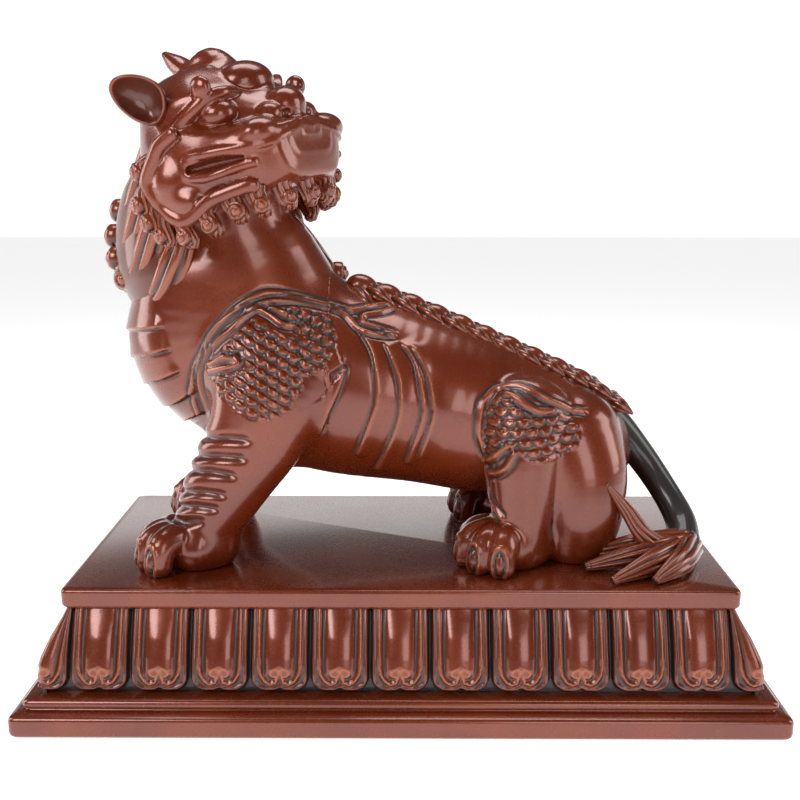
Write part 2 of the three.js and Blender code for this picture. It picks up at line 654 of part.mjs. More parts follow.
function maneAndBeard() {
  const farBeard = BEARD.filter(([, s]) => s > 0).map(([f, s, u]) => [f, -FAR_BEARD * s, u]);
  const locks = LOCKS.map((lock) => lock.map((p, k) => [...p, LOCK_HALF[k]]));
  const curls = [...LOCKS.map((lock) => lock.at(-1)), ...LOCK_ENDS];
  return [
    limb(MANE, { sides: 10, steps: even(3), round: false }),
    limb(NAPE, { sides: 8, steps: even(2), round: false }),
    ...[...BEARD, ...farBeard].map((p) => headEgg(p, [CURL * 1.1, CURL * 0.9, CURL * 1.3], [5, 3])),
    ...locks.map((lock) => limb(lock, { sides: 4, steps: even(2), round: false })),
    ...curls.map((p) => egg(p, [CURL, CURL, CURL], WORLD, [5, 3])),
  ];
}

// The plate's top, with the gap that parts the two castings, cuts the beast off flat.
function belowPlate() {
  const depth = 40;
  const slab = new THREE.BoxGeometry(FOOT_LENGTH * 2, FOOT_WIDTH * 2, depth);
  slab.translate(0, 0, PLATE_TOP_Z + REST_GAP - depth / 2);
  return slab;
}

function beast() {
  const paws = [NEAR, FAR].flatMap((side) => [paw(FOREPAW, side), paw(HINDPAW, side)]);
  const body = join([...bodyMasses(), ...paws, ...crest(), ...bands(), ...tufts(), ...tail()]);
  const head = join([...headMasses(), ...maneAndBeard()]);
  const ears = bothSides(ear).reduce((sum, next) => sum.add(next));
  return body.add(head).subtract(join(headHollows())).add(ears).subtract(join([belowPlate()]));
}

const group = new THREE.Group();
group.add(cast('plinth', solid(plinth()), 0x6b2a1a), cast('diting', beast(), 0x74301e));
export default group;
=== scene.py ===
# A diting, the one-horned guardian beast, in patinated cast copper on a lotus plinth.
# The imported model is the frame: its two nodes give the places, and each piece made here replaces one.
import math
import bpy
import numpy as np
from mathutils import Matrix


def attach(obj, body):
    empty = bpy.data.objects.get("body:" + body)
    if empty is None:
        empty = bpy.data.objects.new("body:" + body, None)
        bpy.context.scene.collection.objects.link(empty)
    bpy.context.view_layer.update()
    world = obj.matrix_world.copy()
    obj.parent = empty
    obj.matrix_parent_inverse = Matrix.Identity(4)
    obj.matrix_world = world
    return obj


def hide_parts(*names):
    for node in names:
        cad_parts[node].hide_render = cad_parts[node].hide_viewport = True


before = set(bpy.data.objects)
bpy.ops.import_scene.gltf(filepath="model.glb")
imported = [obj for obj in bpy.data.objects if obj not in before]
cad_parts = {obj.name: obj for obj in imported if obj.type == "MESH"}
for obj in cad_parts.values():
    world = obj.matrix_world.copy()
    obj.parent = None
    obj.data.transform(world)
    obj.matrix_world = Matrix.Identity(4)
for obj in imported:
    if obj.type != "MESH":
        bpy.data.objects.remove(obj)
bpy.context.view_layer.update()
MM = 0.001

# Camera, light and floor. The camera stands in front of the beast's left flank, a little above its
# back, and looks slightly down. Large soft lights hang in front and at both sides, over a pale floor.
CAMERA_AT = (2.56, -434.15, 185.95)
CAMERA_DOWN = 0.193
CAMERA_TURN = 0.007
FOCAL_LENGTH = 52.43
PAPER = (0.95, 0.95, 0.95)
ROOM = (0.07, 0.07, 0.07, 1)
WALL = (1.1, 1.1, 1.1, 1)


class Shade:
    """A socket of a material that sums can be written with."""

    def __init__(self, tree, socket):
        self.tree = tree
        self.socket = socket

    def node(self, kind, settings, **values):
        """A new node: its settings first, then its sockets, by number or by name with _ for a space."""
        made = self.tree.nodes.new(kind)
        for name, value in settings.items():
            setattr(made, name, value)
        for name, value in values.items():
            key = int(name[1:]) if name[1:].isdigit() else name.replace("_", " ")
            target = made.inputs[key]
            if isinstance(value, Shade):
                self.tree.links.new(value.socket, target)
            else:
                target.default_value = value
        return made

    def math(self, operation, first, second=0.0, clamp=False):
        settings = {"operation": operation, "use_clamp": clamp}
        made = self.node("ShaderNodeMath", settings, i0=first, i1=second)
        return Shade(self.tree, made.outputs[0])

    def __add__(self, other):
        return self.math("ADD", self, other)

    def __sub__(self, other):
        return self.math("SUBTRACT", self, other)

    def __mul__(self, other):
        return self.math("MULTIPLY", self, other)

    def __rsub__(self, other):
        return self.math("SUBTRACT", other, self)

    __radd__ = __add__
    __rmul__ = __mul__

    def clamped(self):
        return self.math("ADD", self, 0.0, clamp=True)

    def blend(self, low, high):
        """The colour low where this is 0, and high where it is 1."""
        settings = {"data_type": "RGBA"}
        made = self.node("ShaderNodeMix", settings, i0=self, i6=low, i7=high)
        return Shade(self.tree, made.outputs[2])


def studio():
    """Sets the camera, the floor, the world and the lights."""
    camera = bpy.data.objects.new("camera", bpy.data.cameras.new("camera"))
    camera.data.lens = FOCAL_LENGTH
    camera.data.clip_start = 0.01
    camera.location = [MM * value for value in CAMERA_AT]
    camera.rotation_euler = (math.pi / 2 - CAMERA_DOWN, 0, CAMERA_TURN)
    bpy.context.collection.objects.link(camera)
    bpy.context.scene.camera = camera
    bpy.ops.mesh.primitive_plane_add(size=6, location=(0, 0, -0.0002))
    floor = bpy.context.object
    floor.name = "floor"
    paper = bpy.data.materials.new("paper")
    paper.use_nodes = True
    shader = paper.node_tree.nodes["Principled BSDF"]
    shader.inputs["Base Color"].default_value = (*PAPER, 1)
    shader.inputs["Roughness"].default_value = 0.9
    shader.inputs["Specular IOR Level"].default_value = 0.1
    shader.inputs["Emission Color"].default_value = (1, 1, 1, 1)
    shader.inputs["Emission Strength"].default_value = 0.8
    floor.data.materials.append(paper)
    world = bpy.data.worlds.new("studio")
    world.use_nodes = True
    tree = world.node_tree
    start = Shade(tree, None)
    way = start.node("ShaderNodeTexCoord", {}).outputs["Generated"]
    parts = start.node("ShaderNodeSeparateXYZ", {}, Vector=Shade(tree, way)).outputs
    behind = (Shade(tree, parts["Y"]) * 4.0 - 1.0).clamped()
    low = (3.4 - Shade(tree, parts["Z"]) * 14.0).clamped()
    tree.links.new((behind * low).blend(ROOM, WALL).socket, tree.nodes["Background"].inputs["Color"])
    bpy.context.scene.world = world
    bpy.context.scene.view_settings.view_transform = "Standard"


def softbox(name, place, aim, size, power, tint=(1, 1, 1)):
    """A rectangular light at a place, in metres, turned so that it faces its aim."""
    data = bpy.data.lights.new(name, "AREA")
    data.shape = "RECTANGLE"
    data.size, data.size_y = size
    data.energy = power
    data.color = tint
    lamp = bpy.data.objects.new(name, data)
    lamp.location = place
    way = np.subtract(aim, place)
    lamp.rotation_euler = (math.atan2(math.hypot(way[0], way[1]), -way[2]), 0, math.atan2(-way[0], way[1]))
    bpy.context.collection.objects.link(lamp)


studio()
softbox("key", (-0.45, -0.55, 0.55), (0, 0, 0.12), (0.35, 0.35), 3.2)
softbox("front", (0.25, -0.75, 0.3), (0, 0, 0.1), (0.3, 0.4), 1.2)
softbox("right", (0.7, -0.05, 0.35), (0, 0, 0.1), (0.3, 0.5), 1.8)
softbox("left", (-0.7, 0.05, 0.3), (0, 0, 0.1), (0.25, 0.5), 1.8)
softbox("above", (0.0, 0.15, 0.8), (0, 0, 0.1), (0.6, 0.3), 2.4)

# Copper: the castings' skin. It is red-brown patinated copper under a thin lacquer, rubbed to a
# lighter orange on the ridges, where a painted highlight is laid over the wear, and left grey-black
# where the polishing wheel didn't reach, with painted shade darkening those hollows as well.
COPPER = (0.225, 0.036, 0.0075)
# The ridges' lighter orange: rubbed copper with a painted highlight over it.
RIDGE_WEAR_AND_HIGHLIGHT = (0.40, 0.10, 0.032)
# The hollows' near-black: patina with painted shade over it.
HOLLOW_PATINA_AND_SHADE = (0.016, 0.010, 0.009)
PLUM = (0.15, 0.020, 0.0045)


def copper(name, lightness):
    """Copper whose colour follows the piece's own attributes: dark in the hollows, for patina and
    painted shade, and light on the ridges, for wear and a painted highlight.
    """
    material = bpy.data.materials.new(name)
    material.use_nodes = True
    tree = material.node_tree
    shader = tree.nodes["Principled BSDF"]
    start = Shade(tree, None)
    place = Shade(tree, start.node("ShaderNodeTexCoord", {}).outputs["Object"])

    def noise(scale, detail):
        made = start.node("ShaderNodeTexNoise", {}, Vector=place, Scale=scale, Detail=detail)
        return Shade(tree, made.outputs["Fac"])

    def attribute(word):
        return Shade(tree, start.node("ShaderNodeAttribute", {"attribute_name": word}).outputs["Fac"])

    hollow, rubbed = attribute("hollow"), attribute("rubbed")
    clouds, grain = noise(38.0, 3.0), noise(900.0, 2.0)
    # dark: painted shade over the patina in the hollows; the rubbed blend below lays a painted highlight over the worn
    # ridges.
    dark = (hollow * 1.25 + (grain - 0.5) * 0.7 * hollow).clamped()
    tone = [[lightness * part for part in colour] + [1] for colour in (PLUM, COPPER, RIDGE_WEAR_AND_HIGHLIGHT, HOLLOW_PATINA_AND_SHADE)]
    plain = ((clouds - 0.32) * 2.2).clamped().blend(tone[0], tone[1])
    worn_and_highlight = rubbed.blend(plain, tone[2])
    tree.links.new(dark.blend(worn_and_highlight, tone[3]).socket, shader.inputs["Base Color"])
    gloss = 0.27 + (clouds - 0.5) * 0.12 + dark * 0.25 + (grain - 0.5) * 0.08
    tree.links.new(gloss.socket, shader.inputs["Roughness"])
    shader.inputs["Metallic"].default_value = 0.3
    shader.inputs["Coat Weight"].default_value = 0.6
    shader.inputs["Coat Roughness"].default_value = 0.12
    shader.inputs["Specular IOR Level"].default_value = 0.6
    height = clouds * 0.25 + grain * (0.35 + dark * 1.2)
    bump = start.node("ShaderNodeBump", {}, Strength=0.16, Distance=0.0003, Height=height)
    tree.links.new(bump.outputs["Normal"], shader.inputs["Normal"])
    return material


plinth_copper = copper("plinth_copper", 1.0)

# Lotus plinth: one hollow casting. The foot and the top plate are plain mouldings with softened edges,
# run round a rectangle. Between them stands a band of petals, one lapped hard against the next.
FOOT_SIZE = (262.6, 150.0)
FOOT_CORNER = 2.6
PLATE_TOP = 47.0
FOOT_PROFILE = [(1.6, 0, 0.3), (0, 0.9, 1.6), (0, 6.4, 0.5), (0.5, 7.3, 0.5), (2, 7.9, 0.5), (4.6, 8.4, 0.2),
                (4.9, 8.9, 0.2), (4.1, 9.3, 0.3), (3.9, 10.2, 0.6), (4.1, 11.3, 0.5), (5.0, 12.1, 0.4),
                (11.5, 12.4, 0.1)]
PLATE_PROFILE = [(18.6, 39.9, 0.1), (16.4, 40.0, 0.3), (15.5, 41.0, 0.7), (15.4, 45.9, 0.5),
                 (15.8, 46.7, 0.4), (16.9, PLATE_TOP, 0.2)]
BAND_PROFILE = [(12, 8.6), (19, 9.2), (25, 10.8), (31, 13.2), (36, 15.6), (41, 18.2)]
PETALS = (11, 5)
PITCH = (20.4, 22.6)
PETAL_HALF = 9.7
RECESS = 2.7
RIM_HALF_WIDTH = 6.9
VOLUTE_AT = (1.75, 19.6)


def grid_faces(rows, columns, round_way):
    """Quads between the points of a grid of rows, each row closed to a ring where round_way is true."""
    first = np.arange(rows - 1)[:, None] * columns
    here = np.arange(columns if round_way else columns - 1)[None, :]
    after = (here + 1) % columns
    quads = np.stack([first + here, first + after, first + columns + after, first + columns + here], -1)
    return quads.reshape(-1, 4)


def mesh_piece(name, shells, material, **attributes):
    """One object from shells (points in mm, quads, caps), its faces turned outwards, smooth shaded."""
    points, loops, sizes, start = [], [], [], 0
    for shell, quads, caps in shells:
        points.append(shell)
        flip = volume_sign(shell, quads, caps)
        for faces in [quads, *[np.asarray(cap)[None, :] for cap in caps]]:
            faces = faces[:, ::-1] if flip else faces
            loops.append((faces + start).ravel())
            sizes.append(np.full(len(faces), faces.shape[1]))
        start += len(shell)
    points, loops, sizes = np.concatenate(points), np.concatenate(loops), np.concatenate(sizes)
    mesh = bpy.data.meshes.new(name)
    mesh.vertices.add(len(points))
    mesh.vertices.foreach_set("co", (points * MM).astype(np.float32).ravel())
    mesh.loops.add(len(loops))
    mesh.loops.foreach_set("vertex_index", loops.astype(np.int32))
    mesh.polygons.add(len(sizes))
    mesh.polygons.foreach_set("loop_start", (np.cumsum(sizes) - sizes).astype(np.int32))
    mesh.polygons.foreach_set("use_smooth", np.ones(len(sizes), bool))
    mesh.update(calc_edges=True)
    # Two colour attributes per point: dark for patina with painted shade in the hollows, light for wear with a painted
    # highlight on the ridges.
    for word in ("hollow", "rubbed"):
        values = np.asarray(attributes.get(word, np.zeros(len(points))), np.float32)
        mesh.attributes.new(word, "FLOAT", "POINT").data.foreach_set("value", values)
    piece = bpy.data.objects.new(name, mesh)
    mesh.materials.append(material)
    bpy.context.collection.objects.link(piece)
    return piece


def volume_sign(points, quads, caps):
    """True where the faces enclose a negative volume: the sum of the signed cones from the origin."""
    total = 0.0
    for faces in [quads, *[np.asarray(cap)[None, :] for cap in caps]]:
        corner = points[faces]
        for k in range(1, faces.shape[1] - 1):
            cone = np.cross(corner[:, k], corner[:, k + 1])
            total += np.einsum("ij,ij->", corner[:, 0], cone)
    return total < 0


def rectangle_ring(inset, z, corner, steps=6):
    """A rectangle set in from the foot's edge, its corners quarter circles of the given radius."""
    angle = np.linspace(0, np.pi / 2, steps + 1)
    ring = []
    for quarter, (sx, sy) in enumerate([(1, 1), (-1, 1), (-1, -1), (1, -1)]):
        turn = angle + quarter * np.pi / 2
        x = sx * (FOOT_SIZE[0] / 2 - inset - corner) + corner * np.cos(turn)
        y = sy * (FOOT_SIZE[1] / 2 - inset - corner) + corner * np.sin(turn)
        ring.append(np.stack([x, y, np.full_like(x, z)], -1))
    return np.concatenate(ring)


def soften(profile, steps=4):
    """A profile of (inset, z, cut) whose corners are cut back and rounded by a quadratic curve."""
    spots = np.array(profile)
    rounded = [spots[0, :2]]
    for before, here, after in zip(spots, spots[1:], spots[2:]):
        back, on = before[:2] - here[:2], after[:2] - here[:2]
        start = here[:2] + back * min(0.5, here[2] / np.linalg.norm(back))
        end = here[:2] + on * min(0.5, here[2] / np.linalg.norm(on))
        t = np.linspace(0, 1, steps)[:, None]
        rounded.extend((1 - t) ** 2 * start + 2 * t * (1 - t) * here[:2] + t ** 2 * end)
    return [*rounded, spots[-1, :2]]


def moulding(profile):
    """A profile carried round the rectangle, closed flat below and above."""
    rings = [rectangle_ring(inset, z, FOOT_CORNER) for inset, z in soften(profile)]
    count = len(rings[0])
    caps = [np.arange(count)[::-1], np.arange(count) + (len(rings) - 1) * count]
    return np.concatenate(rings), grid_faces(len(rings), count, True), caps


def nearness(points, path):
    """The distance of each point to a path of short straight steps, and how far along it that is."""
    best = np.full(len(points), np.inf)
    place = np.zeros(len(points))
    lengths = np.linalg.norm(np.diff(path, axis=0), axis=1)
    for k, (start, end) in enumerate(zip(path, path[1:])):
        way = end - start
        t = np.clip(((points - start) @ way) / max(way @ way, 1e-9), 0, 1)
        away = np.linalg.norm(points - start - t[:, None] * way, axis=1)
        nearer = away < best
        best = np.where(nearer, away, best)
        place = np.where(nearer, lengths[:k].sum() + t * lengths[k], place)
    return best, place


def smooth_step(value, low, high):
    """0 below low, 1 above high, and 3t^2 - 2t^3 between them."""
    t = np.clip((value - low) / (high - low), 0, 1)
    return t * t * (3 - 2 * t)


def petal_rim():
    """The rim inside a petal: down one side, round the foot, and up into a volute of one turn."""
    down = [(RIM_HALF_WIDTH, 42.0), (RIM_HALF_WIDTH, 31.0), (RIM_HALF_WIDTH - 0.1, 22.0)]
    foot = [(RIM_HALF_WIDTH - 0.7, 19.2), (RIM_HALF_WIDTH - 2.1, 17.0), (3.2, 16.0), (1.3, 16.6)]
    turn = np.linspace(-0.62 * np.pi, -2.3 * np.pi, 16)
    radius = np.linspace(2.1, 0.5, 16)
    curl = np.stack([VOLUTE_AT[0] - radius * np.sin(turn + np.pi), VOLUTE_AT[1] + radius * np.cos(turn + np.pi)], -1)
    return np.concatenate([down, foot, curl[1:]])


def petal_relief(u, z):
    """How far a petal stands out over the band at u across it and height z: a broad lobe with a round
    foot, a rim that ends in two volutes, and a smooth tongue swelling between them. Also how dark it
    is, for patina and painted shade in the recess and on the flat between rim and tongue, and how
    light, for wear and a painted highlight on the rim."""
    side = np.abs(u)
    foot = 13.1 + 5.5 - np.sqrt(np.clip(5.5 ** 2 - np.clip(side - 4.1, 0, 5.5) ** 2, 0, None))
    foot = foot + 0.9 * np.exp(-(u / 1.1) ** 2)
    inside = np.minimum(PETAL_HALF - side, (z - foot) * 0.9)
    height = RECESS * (smooth_step(inside, 0, 0.8) - 1) + 0.45 * np.exp(-((inside - 1.0) / 0.55) ** 2)
    height -= 0.35 * smooth_step(inside, 1.2, 2.2)
    away, _ = nearness(np.stack([side, z], -1), petal_rim())
    rim = 1.25 * np.exp(-(away / 0.72) ** 2)
    floor_z = 17.6 + 1.4 * np.exp(-(u / 1.4) ** 2)
    tongue = np.sqrt(np.clip(1 - (side / 4.9) ** 2, 0, None)) * smooth_step(z, floor_z - 0.4, floor_z + 3.5)
    tongue = 1.9 * tongue * (1 - 0.35 * smooth_step(z, 30, 40))
    height = height + np.maximum(rim, tongue)
    # Patina with painted shade: dark in the recess round the lobe, less on the flat band; wear with a painted highlight
    # on the rim.
    patina_and_shade = np.clip(1 - smooth_step(inside, 0.1, 1.0), 0, 1)
    band = smooth_step(inside, 1.2, 2.0) * (1 - smooth_step(rim, 0.2, 0.7)) * (1 - smooth_step(tongue, 0.05, 0.6))
    return height, np.maximum(patina_and_shade, 0.62 * band), smooth_step(rim, 0.75, 1.2) * 0.8


def lotus_band(columns=42, rows=52):
    """Petals round the plinth: each side is a row of petals, with half a petal folded round each end."""
    z = np.linspace(12.1, 40.2, rows)
    inset = np.interp(z, *np.array(BAND_PROFILE).T)
    points, hollow, rubbed = [], [], []
    for side in range(4):
        long_way = side % 2
        length, depth = FOOT_SIZE[long_way], FOOT_SIZE[1 - long_way]
        pitch, count = PITCH[long_way], PETALS[long_way]
        fold = length / 2 - inset
        last = count * pitch / 2
        u = (np.arange(count * columns) + 0.5) / columns * pitch - last
        local = (u + pitch / 2) % pitch - pitch / 2
        local = local * (PETAL_HALF + 0.35) / (pitch / 2)
        half = (np.arange(columns // 2) + 0.5) / (columns // 2)
        end = last + (fold[:, None] - last) * half[None, :]
        end_local = (1 - half)[None, :] * (PETAL_HALF + 0.35) + 0 * end
        across = np.concatenate([-end[:, ::-1], np.broadcast_to(u, (rows, len(u))), end], 1)
        inner = np.concatenate([-end_local[:, ::-1], np.broadcast_to(local, (rows, len(u))), end_local], 1)
        level = np.broadcast_to(z[:, None], across.shape)
        height, patina_and_shade, worn_and_highlight = (part.reshape(across.shape) for part in petal_relief(inner.ravel(), level.ravel()))
        ends = np.abs(across) > last
        squeeze = np.where(ends, np.clip((fold[:, None] - last) / 9.0, 0.12, 1), 1)
        out = depth / 2 - inset[:, None] + height * squeeze
        angle = side * np.pi / 2
        x = across * np.cos(angle) + out * np.sin(angle)
        y = across * np.sin(angle) - out * np.cos(angle)
        points.append(np.stack([x, y, level], -1))
        hollow.append(patina_and_shade)
        rubbed.append(worn_and_highlight)
    points, hollow, rubbed = (np.concatenate(part, 1) for part in (points, hollow, rubbed))
    count = points.shape[1]
    caps = [np.arange(count)[::-1], np.arange(count) + (rows - 1) * count]
    shell = (points.reshape(-1, 3), grid_faces(rows, count, True), caps)
    return shell, hollow.ravel(), rubbed.ravel()


foot, plate = moulding(FOOT_PROFILE), moulding(PLATE_PROFILE)
band, band_hollow, band_rubbed = lotus_band()
plain_foot, plain_plate = np.zeros(len(foot[0])), np.zeros(len(plate[0]))
lotus_plinth = mesh_piece(
    "lotus_plinth", [foot, band, plate], plinth_copper,
    hollow=np.concatenate([plain_foot, band_hollow, plain_plate]),
    rubbed=np.concatenate([plain_foot, band_rubbed, plain_plate]))
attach(lotus_plinth, "root")
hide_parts("plinth")

# Beast, trunk and legs: the body of the beast's one casting, in patinated copper. Each mass is worked
# out as a field in a block of space, flowing into the next as modelled wax does, and skinned; the low
# relief is then raised on the skin. The seams between the blocks lie inside the metal.
TRUNK = [(-44, 0, 112, 31, 33.5), (-20, 0, 108, 32.5, 35), (7, 0, 102, 31.5, 32), (30, 0, 95.5, 29, 29.5),
         (53, 0, 88, 26, 25), (67, 0, 83.5, 21, 20.5)]
NECK = [(-62, -4, 188, 22, 20), (-60.5, -3, 165, 21.5, 21.5), (-58, -2, 149.7, 24, 29),
        (-54, -1, 134.7, 28, 33), (-45, 0, 120, 30, 33)]
BREAST = [(-74, -2, 145, 22, 24), (-74, 0, 124, 25, 27), (-62, 0, 108, 24, 22), (-52, 0, 92, 20, 17)]
FORELEG = [(-46, 20, 119, 20, 25), (-47.3, 27, 106.3, 16, 20.5), (-51.6, 30, 94.2, 13, 17.6),
           (-58.6, 31, 82.7, 12, 15.7), (-65, 31, 71.6, 11.5, 14), (-70, 31, 61, 11, 12), (-73, 31, 54, 11.5, 12)]
HINDLEG = [(45.7, 22, 100.4, 14, 17), (44, 27, 88.4, 13, 14.5), (43.7, 30, 74.4, 11, 11.8),
           (43.2, 31, 61.4, 10.5, 10.8), (42, 31, 55, 11, 11)]
HAUNCH = [(61, 16, 90, 18, 20), (65.5, 22, 77.6, 15, 17), (66, 24, 65, 14, 15), (64.5, 24, 54.3, 12, 13)]
PAWS = [((-75, 33), (-40, -10, 21, 52), 20.5), ((39, 31), (-32, 8, 44, 76), 20)]
SOLE = PLATE_TOP + 0.3
TOE = [(0.1, 58.5, 6), (0.45, 58.5, 5.6), (0.68, 56.6, 5.2), (0.76, 51, 4.8)]
BODY_BLOCKS = [("near_forequarters", (-116, -66, 46), (-25, 0.6, 212), 0.56),
               ("near_hindquarters", (-27, -66, 46), (112, 0.6, 152), 0.6),
               ("far_side", (-116, -0.6, 46), (112, 66, 212), 0.95)]


def smooth_path(stations, steps=6):
    """A Catmull-Rom curve through the stations, with steps points to each gap."""
    spots = np.array(stations, float)
    spots = np.concatenate([[2 * spots[0] - spots[1]], spots, [2 * spots[-1] - spots[-2]]])
    t = (np.arange(steps) / steps)[:, None]
    parts = []
    for a, b, c, d in zip(spots, spots[1:], spots[2:], spots[3:]):
        parts.append(b + t / 2 * (c - a + t * (2 * a - 5 * b + 4 * c - d + t * (3 * (b - c) + d - a))))
    return np.concatenate([*parts, [spots[-2]]])


def unit(vector):
    return vector / np.linalg.norm(vector)


class Field:
    """A block of space on a regular grid. Each value is about the distance in mm to a form's surface,
    negative inside the form."""

    def __init__(self, low, high, step):
        self.low = np.array(low, float)
        self.step = step
        count = np.ceil((np.array(high) - self.low) / step).astype(int) + 1
        self.value = np.full(count, 60.0, np.float32)

    def window(self, low, high):
        """The part of the block between two corners, and its points' places along each axis."""
        first = np.clip(np.floor((low - self.low) / self.step), 0, self.value.shape).astype(int)
        last = np.clip(np.ceil((high - self.low) / self.step) + 1, 0, self.value.shape).astype(int)
        spans = [self.low[k] + self.step * np.arange(first[k], last[k]) for k in range(3)]
        places = np.meshgrid(*[span.astype(np.float32) for span in spans], indexing="ij", sparse=True)
        return tuple(slice(a, b) for a, b in zip(first, last)), places

    def join(self, part, other, blend):
        """Unites another form with this one, the corner between them filled to the width of blend."""
        mine = self.value[part]
        near = np.clip(blend - np.abs(mine - other), 0, None)
        self.value[part] = np.minimum(mine, other) - near * near / (4 * blend)

    def limb(self, stations, blend, across=(0, 1, 0), steps=5):
        """Unites a limb through stations (x, y, z, half across, half deep): an elliptical capsule for
        each short step of the curve, with value k0 (k0 - 1) / k1, where k0 and k1 are the lengths of
        the offset divided by the half sizes and by their squares."""
        path = smooth_path(stations, steps)
        room = path[:, 3:].max() + blend + 2
        part, (x, y, z) = self.window(path[:, :3].min(0) - room, path[:, :3].max(0) + room)
        form = np.full([span.stop - span.start for span in part], 60.0, np.float32)
        if form.size == 0:
            return
        corner = [x.ravel()[0], y.ravel()[0], z.ravel()[0]]
        for a, b in zip(path, path[1:]):
            reach = max(a[3:].max(), b[3:].max()) + blend + 2
            low, high = np.minimum(a[:3], b[:3]) - reach, np.maximum(a[:3], b[:3]) + reach
            first = [max(0, int((low[k] - corner[k]) / self.step)) for k in range(3)]
            last = [max(0, int((high[k] - corner[k]) / self.step) + 2) for k in range(3)]
            inner = tuple(slice(f, e) for f, e in zip(first, last))
            if form[inner].size == 0:
                continue
            px, py, pz = x[inner[0]] - a[0], y[:, inner[1]] - a[1], z[:, :, inner[2]] - a[2]
            way = (b - a)[:3]
            length = np.linalg.norm(way)
            ahead = way / length
            wide = unit(np.array(across) - ahead * np.dot(across, ahead))
            deep = np.cross(ahead, wide)
            along = px * ahead[0] + py * ahead[1] + pz * ahead[2]
            t = np.clip(along / length, 0, 1)
            beyond = along - t * length
            half, thick = a[3] + t * (b[3] - a[3]), a[4] + t * (b[4] - a[4])
            u = (px * wide[0] + py * wide[1] + pz * wide[2]) / half
            v = (px * deep[0] + py * deep[1] + pz * deep[2]) / thick
            w = beyond / np.minimum(half, thick)
            near = np.sqrt(u * u + v * v + w * w + 1e-6)
            least = np.minimum(half, thick)
            slope = np.sqrt((u / half) ** 2 + (v / thick) ** 2 + (w / least) ** 2 + 1e-6 / least ** 2)
            form[inner] = np.minimum(form[inner], near * (near - 1) / slope)
        self.join(part, form, blend)

    def smooth(self, passes):
        """Evens the field out by weighing each value with its neighbours, 1 2 1, along each axis."""
        for _ in range(passes):
            for axis in range(3):
                line = np.moveaxis(self.value, axis, 0)
                line[1:-1] = (line[:-2] + 2 * line[1:-1] + line[2:]) / 4

    def at(self, points):
        """The field's value at any points, weighed between the eight grid points round each."""
        place = np.clip((points - self.low) / self.step, 0, np.array(self.value.shape) - 1.001)
        cell = place.astype(int)
        t = place - cell
        total = np.zeros(len(points))
        for dx in (0, 1):
            for dy in (0, 1):
                for dz in (0, 1):
                    share = np.abs(1 - dx - t[:, 0]) * np.abs(1 - dy - t[:, 1]) * np.abs(1 - dz - t[:, 2])
                    total += share * self.value[cell[:, 0] + dx, cell[:, 1] + dy, cell[:, 2] + dz]
        return total

    def slope(self, points):
        """The field's gradient, from differences one step to each side."""
        steps = self.step * 0.8 * np.eye(3)
        return np.stack([self.at(points + way) - self.at(points - way) for way in steps], -1) / (1.6 * self.step)

    def skin(self):
        """The form's surface. Each cell that it crosses gets a point, at the mean of its crossings of
        the cell's edges, and each grid edge that it crosses gets a quad of the four cells round it."""
        for k in range(3):
            np.moveaxis(self.value, k, 0)[[0, -1]] = 0.5 * self.step
        inside = self.value < 0
        shape = np.array(self.value.shape) - 1
        count = np.zeros(shape, np.int8)
        for corner in np.ndindex(2, 2, 2):
            count += inside[tuple(slice(c, c + n) for c, n in zip(corner, shape))]
        active = (count > 0) & (count < 8)
        number = np.full(shape, -1)
        cell = np.argwhere(active)
        number[active] = np.arange(len(cell))
        total, crossings = np.zeros((len(cell), 3)), np.zeros(len(cell))
        quads = []
        for axis in range(3):
            ahead, first, second = np.eye(3, dtype=int)[[axis, (axis + 1) % 3, (axis + 2) % 3]]
            for i, j in np.ndindex(2, 2):
                start = i * first + j * second
                a = self.value[tuple((cell + start).T)]
                b = self.value[tuple((cell + start + ahead).T)]
                hit = (a < 0) != (b < 0)
                t = np.where(hit, a / np.where(hit, a - b, 1), 0)
                total += hit[:, None] * start + t[:, None] * ahead
                crossings += hit
            here = [slice(1, -1)] * 3
            here[axis] = slice(0, -1)
            there = list(here)
            there[axis] = slice(1, None)
            spots = np.argwhere(inside[tuple(here)] != inside[tuple(there)]) + (1 - ahead)
            ring = [spots, spots - first, spots - first - second, spots - second]
            quad = np.stack([number[tuple(spot.T)] for spot in ring], -1)
            outwards = inside[tuple(spots.T)][:, None]
            quads.append(np.where(outwards, quad, quad[:, ::-1]))
        points = self.low + self.step * (cell + total / crossings[:, None])
        for _ in range(2):
            slope = self.slope(points)
            move = self.at(points) / np.maximum((slope ** 2).sum(1), 0.2)
            points -= slope * np.clip(move, -0.4 * self.step, 0.4 * self.step)[:, None]
        return points, np.concatenate(quads)


def compass(turn, reach, centre):
    """The place at a turn in degrees from straight ahead, growing outwards, round a paw's centre."""
    angle = math.radians(turn)
    return centre[0] - math.cos(angle) * reach, centre[1] + math.sin(angle) * reach


def mirrored(stations, side):
    return [(x, side * y, z, *half) for x, y, z, *half in stations]


def body_field(low, high, step):
    """All masses of the body: trunk, neck and breast, and on each side a foreleg, a hind leg, the
    haunch behind it and two paws of four toes with a flat heel."""
    field = Field(low, high, step)
    field.limb(TRUNK, 1)
    field.limb(NECK, 9)
    field.limb(BREAST, 8)
    for side in (-1, 1):
        field.limb(mirrored(HAUNCH, side), 7)
        field.limb(mirrored(FORELEG, side), 6)
        field.limb(mirrored(HINDLEG, side), 1.6)
    field.smooth(int(round(2.2 / step)))
    for side in (-1, 1):
        for centre, turns, reach in PAWS:
            heel = [(*compass(200, 10, centre), 54, 8.5, 7), (*compass(205, 4, centre), 54, 9.5, 8)]
            field.limb(mirrored([*heel, (*centre, 54, 11, 8)], side), 5)
            for turn in turns:
                way = compass(turn, 1, (0, 0))
                toe = [(*compass(turn, reach * far, centre), z, half, half) for far, z, half in TOE]
                field.limb(mirrored(toe, side), 1.3, across=(-way[1] * side, way[0], 0))
    part, (x, y, z) = field.window(low, high)
    field.value = np.maximum(field.value, SOLE - z)
    return field


